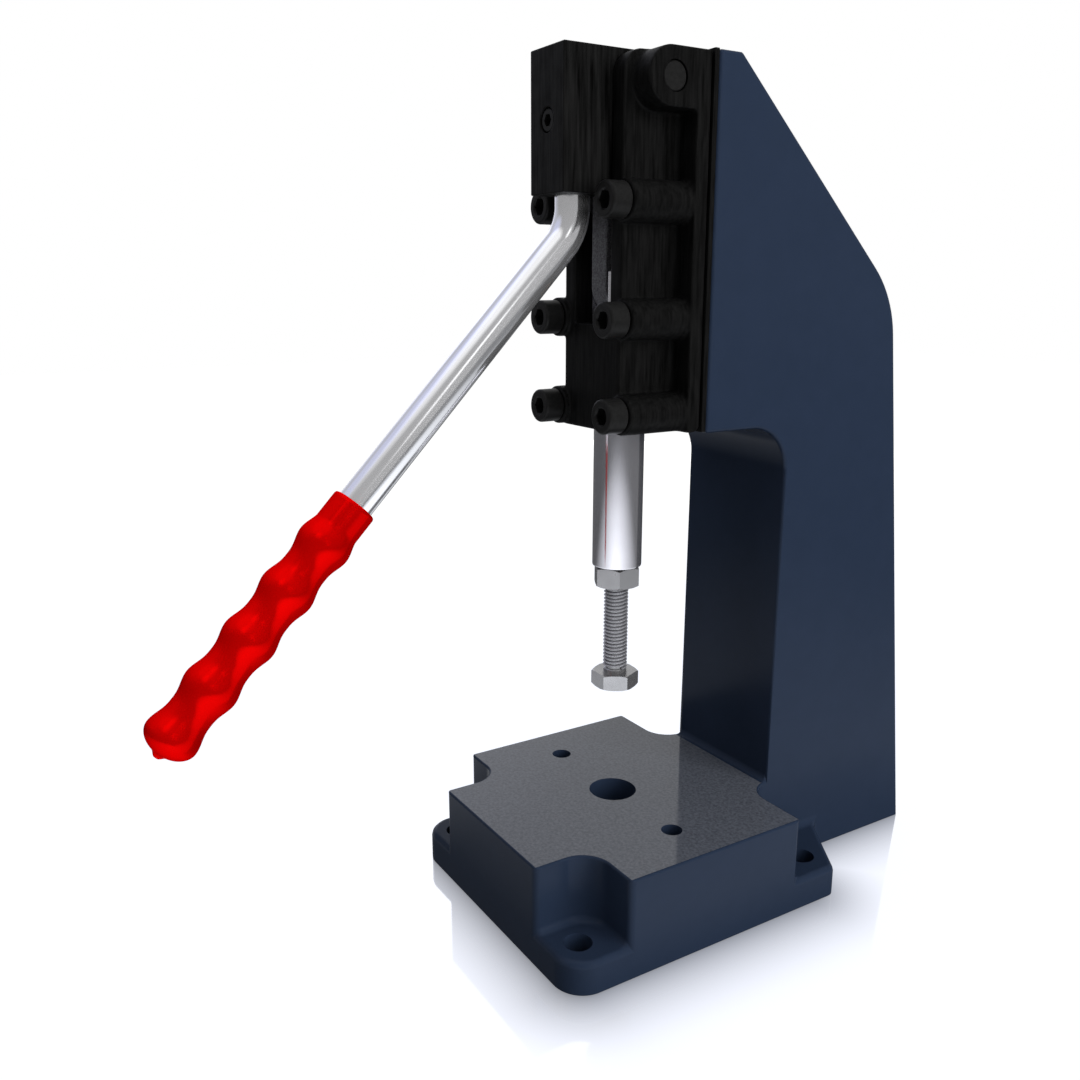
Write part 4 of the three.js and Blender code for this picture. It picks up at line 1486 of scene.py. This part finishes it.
# Radius at which the painted shade in the thread's grooves is darkest, a little above the root of
# the thread
GROOVE_SHADE_RADIUS = 4.3
CORE_RADIUS = 4.1
THREAD_FACETS = 48
# Shares of the pitch at which the thread's flank begins and ends, and its crest ends
FLANK_START, FLANK_END, CREST_END = 0.14, 0.46, 0.58


def hexagon_solid(low, high, turn):
    """Hexagon with its corners turned down by a cone at both ends."""
    corner = ACROSS_FLATS / 2 / math.cos(math.pi / 6)
    face = ACROSS_FLATS / 2 + FACE_EXTRA
    past_corner = corner + SKIM
    rise = (past_corner - face) * math.tan(CORNER_ANGLE)
    profile = [
        (0, low), (face, low), (past_corner, low + rise),
        (past_corner, high - rise), (face, high), (0, high),
    ]
    solid = prism(hexagon(ACROSS_FLATS, turn=turn), "z", low, high)
    return keep_common(solid, turned(profile, facets=192))


def lock_nut():
    narrow, wide = SPINDLE_BORE_RADIUS, SPINDLE_BORE_RADIUS + NUT_CHAMFER
    bore = [
        (0, NUT_BOTTOM_Z - SKIM), (wide, NUT_BOTTOM_Z - SKIM),
        (narrow, NUT_BOTTOM_Z + NUT_CHAMFER), (narrow, NUT_TOP_Z - NUT_CHAMFER),
        (wide, NUT_TOP_Z + SKIM), (0, NUT_TOP_Z + SKIM),
    ]
    nut = cut(hexagon_solid(NUT_BOTTOM_Z, NUT_TOP_Z, NUT_TURN), turned(bore))
    finish_piece(nut, "zinc_nut", "ram", ["lock_nut"], "zinc_steel", "Zinc steel")


def threaded_shank(low, high):
    """Right-hand thread as one ribbon of a vee profile wound round the shank."""
    sizes = bpy.context.scene.toggle_press_sizes
    pitch, crest = sizes.thread_pitch, SPINDLE_RADIUS
    root = crest - sizes.thread_depth
    section = ((root, 0.0), (root, FLANK_START), (crest, FLANK_END), (crest, CREST_END))
    count = round(((high - low) / pitch - 1) * THREAD_FACETS)
    mesh = bmesh.new()
    rows = []
    for step in range(count + 1):
        angle = 2 * math.pi * step / THREAD_FACETS
        height = low + pitch * step / THREAD_FACETS
        rows.append([
            mesh.verts.new(
                (radius * math.cos(angle), radius * math.sin(angle), height + share * pitch)
            )
            for radius, share in section
        ])
    for step in range(count):
        row, after = rows[step], rows[step + 1]
        for j in range(len(section) - 1):
            mesh.faces.new((row[j], after[j], after[j + 1], row[j + 1]))
        above = step + THREAD_FACETS
        if above < count:
            mesh.faces.new((row[-1], after[-1], rows[above + 1][0], rows[above][0]))
    bmesh.ops.holes_fill(mesh, edges=[edge for edge in mesh.edges if edge.is_boundary], sides=0)
    return as_form(mesh)


def spindle_bolt():
    shank = [
        (0, HEAD_TOP_Z - OVERRUN), (NECK_RADIUS, HEAD_TOP_Z - OVERRUN),
        (NECK_RADIUS, NECK_TOP_Z), (CORE_RADIUS, NECK_END_Z),
        (CORE_RADIUS, SPINDLE_TOP_Z - SPINDLE_CHAMFER),
        (CORE_RADIUS - SPINDLE_CHAMFER, SPINDLE_TOP_Z), (0, SPINDLE_TOP_Z),
    ]
    bolt = join(hexagon_solid(HEAD_BOTTOM_Z, HEAD_TOP_Z, HEAD_TURN), turned(shank))
    thread = threaded_shank(THREAD_BOTTOM_Z, THREAD_TOP_Z)
    for form, name, finish in (
        (bolt, "hex_spindle", "Zinc steel"), (thread, "spindle_thread", "Thread steel"),
    ):
        finish_piece(form, name, "spindle", ["spindle_bolt"], "zinc_steel", finish)


class MakeSpindle(bpy.types.Operator):
    """Threaded hexagon spindle and its lock nut"""

    bl_idname = "toggle_press.make_spindle"
    bl_label = "Spindle"

    def execute(self, context):
        lock_nut()
        spindle_bolt()
        return {"FINISHED"}


# Studio, in metres

FLOOR_REACH = 3.0
FLOOR_PALE = 0.8
MIRROR_ROUGHNESS = 0.06
WHITE = (1, 1, 1, 1)
# Distances from the foot between which the floor glow's bluish tint, painted shade near the foot,
# turns to white
WHITENING = (0.2, 0.7)
# What bright metal sees of the floor: a pool that fades between two distances from its middle to
# the rest of the floor, and is dimmed near the foot, but not on the right of it
POOL_FADE = (0.1, 0.77)
REST_OF_FLOOR = 0.15
FOOT_DIMMING = (0.01, 0.1)
DIMMEST = 0.1
RIGHT_OF_FOOT = (0.062, 0.09)

PRESS_MIDDLE = (0, 0, 0.15)
GRIP_MIDDLE = Vector((0, -0.19, 0.14))
GRIP_LIGHT_WIDTH = 0.35
# Azimuth and elevation of the grip's own lights, seen from the grip, 1 m away
GRIP_LIGHTS = {"low": (-60, -65), "high": (120, 70), "front": (-45, 52), "side": (0, 18)}
# Azimuth, elevation, inner and outer angle and strength of the lit patches of the room
SKY_PATCHES = (
    (-50, 84, 27, 38, 0.74),
    (165, 10, 8, 24, 0.55),
    (-6, 27, 2, 7, 1.3),
    (148, 35, 26, 34, 0.56),
)
COOL_PATCHES = (
    (-122, 48, 10, 28, 0.5),
    (-172, 22, 10, 40, 0.3),
)
# The camera's sensor is in millimetres, as its lens is
SENSOR_WIDTH = 36
NEAREST_SEEN = 0.01


def area_light(name, place, target, width, watts, glossy):
    """Square lamp that shines from a place to a target, and may show in glossy surfaces."""
    light = bpy.data.lights.new(name, "AREA")
    light.shape = "SQUARE"
    light.size = width
    light.energy = watts
    lamp = bpy.data.objects.new(name, light)
    lamp.visible_glossy = glossy
    lamp.location = place
    lamp.rotation_euler = (Vector(target) - Vector(place)).to_track_quat("-Z", "Y").to_euler()
    bpy.context.scene.collection.objects.link(lamp)
    return lamp


def light_only(lamp, *receivers):
    """Lets a lamp light some objects alone."""
    group = bpy.data.collections.new(f"{lamp.name} receivers")
    for receiver in receivers:
        group.objects.link(receiver)
    lamp.light_linking.receiver_collection = group
    return group


def keep_off(lamp, *objects):
    """Lets a lamp light everything but some objects."""
    for linked in light_only(lamp, *objects).collection_objects:
        linked.light_linking.link_state = "EXCLUDE"


def studio_lights(floor):
    studio = bpy.context.scene.toggle_press_studio
    grip, rod = bpy.data.objects["ribbed_grip"], bpy.data.objects["bent_rod"]
    for name, place, width, watts, unlit in (
        ("Side light", (1.0, 0.2, 0.5), 0.9, studio.side_light, (floor, grip)),
        ("Top light", (0.0, 0.0, 1.2), 1.0, studio.top_light, (grip,)),
        ("Front light", (-0.2, -1.1, 0.7), 0.45, studio.front_light, (grip, rod)),
        ("Back light", (-0.95, 0.85, 0.12), 0.5, studio.back_light, (grip,)),
    ):
        glossy = name == "Front light"
        keep_off(area_light(name, place, PRESS_MIDDLE, width, watts, glossy), *unlit)
    for side, angles in GRIP_LIGHTS.items():
        lamp = area_light(
            f"Grip {side} light", GRIP_MIDDLE + Vector(towards(*angles)), GRIP_MIDDLE,
            GRIP_LIGHT_WIDTH, getattr(studio, f"grip_{side}_light"), side == "front",
        )
        light_only(lamp, grip)


def towards(azimuth, elevation):
    """Direction by its angles in degrees, azimuth 0 along +X and 90 along +Y."""
    turn, lift = math.radians(azimuth), math.radians(elevation)
    return (
        math.cos(turn) * math.cos(lift), math.sin(turn) * math.cos(lift), math.sin(lift),
    )


def studio_floor():
    """White floor with a mirror image of the press that fades away from its foot."""
    mesh = bmesh.new()
    corners = [(-FLOOR_REACH, -FLOOR_REACH), (FLOOR_REACH, -FLOOR_REACH)]
    corners += [(FLOOR_REACH, FLOOR_REACH), (-FLOOR_REACH, FLOOR_REACH)]
    mesh.faces.new([mesh.verts.new((x, y, 0)) for x, y in corners])
    floor = as_form(mesh)
    floor.name = "pale_floor"
    floor.visible_shadow = False
    material, tree, shader = new_material("Pale floor", roughness=0.9, specular=0.0)
    place = object_place(tree)
    from_foot = add_foot_distance(tree, place)
    seen = tree.nodes.new("ShaderNodeLightPath").outputs
    seen_floor = add_seen_floor(tree, shader, from_foot, seen["Is Camera Ray"])
    pool = add_pool(tree, place, from_foot)
    chosen = add_node(
        tree, "ShaderNodeMixShader", {"Fac": seen["Is Glossy Ray"], 1: seen_floor, 2: pool}
    )
    tree.links.new(chosen.outputs["Shader"], tree.nodes["Material Output"].inputs["Surface"])
    floor.data.materials.append(material)
    return floor


def add_seen_floor(tree, shader, from_foot, in_picture):
    """The floor in the picture: a little of the lamps' light, its glow and the mirror image."""
    studio = bpy.context.scene.toggle_press_studio
    pale = add_ramp(tree, in_picture, 0, 1, FLOOR_PALE, studio.floor_diffuse)
    tree.links.new(pale, shader.inputs["Base Color"])
    nearness = add_ramp(tree, from_foot, 0, studio.mirror_reach, 1.0, 0.0)
    mirroring = add_product(tree, add_product(tree, nearness, nearness), studio.mirror_strength)
    mirroring = add_product(tree, mirroring, in_picture)
    mirror = add_node(
        tree, "ShaderNodeBsdfGlossy", {"Color": mirroring, "Roughness": MIRROR_ROUGHNESS}
    )
    far = add_ramp(tree, from_foot, *WHITENING)
    # Painted shade: the glow is tinted blue near the foot, which colours the floor's shade and
    # mirror image there, and turns white further out
    glow = add_node(tree, "ShaderNodeEmission", {
        "Color": add_mix(tree, far, rgba(studio.foot_shade_tint), WHITE),
        "Strength": add_math(tree, "SUBTRACT", in_picture, mirroring),
    })
    added = add_added(tree, mirror.outputs["BSDF"], glow.outputs["Emission"])
    return add_added(tree, shader.outputs["BSDF"], added)


def add_added(tree, first, second):
    return add_node(tree, "ShaderNodeAddShader", {0: first, 1: second}).outputs["Shader"]


def add_pool(tree, place, from_foot):
    """The floor in bright metal: a pool of light that is dimmed near the foot."""
    studio = bpy.context.scene.toggle_press_studio
    from_pool = add_vector(tree, "DISTANCE", place, studio.pool_place)
    pool = add_ramp(tree, from_pool, *POOL_FADE, studio.pool_strength, REST_OF_FLOOR)
    clear = add_math(
        tree, "MAXIMUM", add_ramp(tree, from_foot, *FOOT_DIMMING, DIMMEST, 1.0),
        add_ramp(tree, add_split(tree, place)["X"], *RIGHT_OF_FOOT),
    )
    glow = {"Color": rgba(studio.pool_tone), "Strength": add_product(tree, pool, clear)}
    return add_node(tree, "ShaderNodeEmission", glow).outputs["Emission"]


def add_foot_distance(tree, place):
    """Distance on the floor from the foot and the column's footing."""
    distances = []
    for half_x, front_y, rear_y, radius in (
        (HALF_WIDTH, FRONT_Y, FOOT_SIDE_REAR_Y, FOOT_FRONT_RADIUS),
        (HALF_COLUMN, 0, COLUMN_REAR_Y, 0),
    ):
        centre = TO_MODEL @ Vector((0, (front_y + rear_y) / 2, 0))
        half = Vector((half_x - radius, (rear_y - front_y) / 2 - radius, 1000)) * MILLIMETRE
        outside = add_vector(tree, "ABSOLUTE", add_vector(tree, "SUBTRACT", place, centre))
        outside = add_vector(tree, "SUBTRACT", outside, half)
        outside = add_vector(tree, "MAXIMUM", outside, (0, 0, 0))
        reach = add_vector(tree, "LENGTH", outside)
        distances.append(add_math(tree, "SUBTRACT", reach, radius * MILLIMETRE))
    return add_math(tree, "MINIMUM", *distances)


def add_patches(tree, direction, patches, base):
    """Adds soft round patches of light to a base, each between two angles from its middle."""
    for azimuth, elevation, inner, outer, strength in patches:
        dot = add_vector(tree, "DOT_PRODUCT", direction, towards(azimuth, elevation))
        edges = [math.cos(math.radians(angle)) for angle in (outer, inner)]
        base = add_sum(tree, add_ramp(tree, dot, *edges, 0.0, strength), base)
    return base


def studio_world():
    """Even grey light, seen as white by the camera and as a softly lit room by bright metal."""
    studio = bpy.context.scene.toggle_press_studio
    world = bpy.data.worlds.new("Studio")
    world.use_nodes = True
    tree = world.node_tree
    background = tree.nodes["Background"]
    direction = tree.nodes.new("ShaderNodeTexCoord").outputs["Generated"]
    seen = tree.nodes.new("ShaderNodeLightPath").outputs
    in_metal = seen["Is Glossy Ray"]
    cool = add_patches(tree, direction, COOL_PATCHES, 0.0)
    room = add_patches(tree, direction, SKY_PATCHES, studio.room_strength)
    room = add_sum(tree, cool, room)
    cooled = add_product(tree, in_metal, cool)
    tint = add_mix(tree, cooled, WHITE, rgba(studio.room_tone))
    tree.links.new(tint, background.inputs["Color"])
    clear = add_math(tree, "MAXIMUM", seen["Is Camera Ray"], seen["Is Transmission Ray"])
    even = add_product(tree, add_math(tree, "SUBTRACT", 1.0, in_metal), studio.sky_strength)
    lit = add_sum(tree, add_product(tree, in_metal, room), even)
    tree.links.new(add_math(tree, "MAXIMUM", clear, lit), background.inputs["Strength"])
    bpy.context.scene.world = world


def studio_camera():
    studio = bpy.context.scene.toggle_press_studio
    data = bpy.data.cameras.new("Camera")
    data.lens = studio.lens
    data.sensor_width = SENSOR_WIDTH
    data.clip_start = NEAREST_SEEN
    camera = bpy.data.objects.new("Camera", data)
    camera.location = studio.camera_place
    camera.rotation_euler = (math.pi / 2 - studio.camera_pitch, 0, studio.camera_yaw)
    bpy.context.scene.collection.objects.link(camera)
    bpy.context.scene.camera = camera


class MakeStudio(bpy.types.Operator):
    """Floor, light, background and camera"""

    bl_idname = "toggle_press.make_studio"
    bl_label = "Studio"

    def execute(self, context):
        studio_lights(studio_floor())
        studio_world()
        studio_camera()
        context.scene.view_settings.view_transform = "Standard"
        return {"FINISHED"}


# Panel and registration


class TogglePressPanel(bpy.types.Panel):
    """Lists the pieces of the press in the sidebar"""

    bl_idname = "VIEW3D_PT_toggle_press"
    bl_label = "Toggle Press"
    bl_space_type = "VIEW_3D"
    bl_region_type = "UI"
    bl_category = "Toggle Press"

    def draw(self, context):
        for operator in OPERATORS:
            self.layout.operator(operator.bl_idname)
        for group in SETTINGS:
            settings = getattr(context.scene, group)
            box = self.layout.box()
            for name in settings.bl_rna.properties.keys():
                if name not in ("rna_type", "name"):
                    box.prop(settings, name)


OPERATORS = (
    MakeFrameCasting,
    MakeHousing,
    MakeCapScrews,
    MakePinsAndBushes,
    MakeLever,
    MakeHandGrip,
    MakeLink,
    MakeRam,
    MakeSpindle,
    MakeStudio,
)
SETTINGS = {
    "toggle_press_sizes": TogglePressSizes,
    "toggle_press_colours": TogglePressColours,
    "toggle_press_studio": TogglePressStudio,
}


def register():
    for name, settings in SETTINGS.items():
        bpy.utils.register_class(settings)
        setattr(bpy.types.Scene, name, PointerProperty(type=settings))
    for kind in (*OPERATORS, TogglePressPanel):
        bpy.utils.register_class(kind)


def unregister():
    for kind in (TogglePressPanel, *reversed(OPERATORS)):
        bpy.utils.unregister_class(kind)
    for name, settings in SETTINGS.items():
        delattr(bpy.types.Scene, name)
        bpy.utils.unregister_class(settings)


def main():
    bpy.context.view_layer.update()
    register()
    bpy.ops.toggle_press.make_frame_casting()
    bpy.ops.toggle_press.make_housing()
    bpy.ops.toggle_press.make_cap_screws()
    bpy.ops.toggle_press.make_pins_and_bushes()
    bpy.ops.toggle_press.make_lever()
    bpy.ops.toggle_press.make_hand_grip()
    bpy.ops.toggle_press.make_link()
    bpy.ops.toggle_press.make_ram()
    bpy.ops.toggle_press.make_spindle()
    bpy.ops.toggle_press.make_studio()
    bpy.context.view_layer.update()


if __name__ == "__main__":
    main()
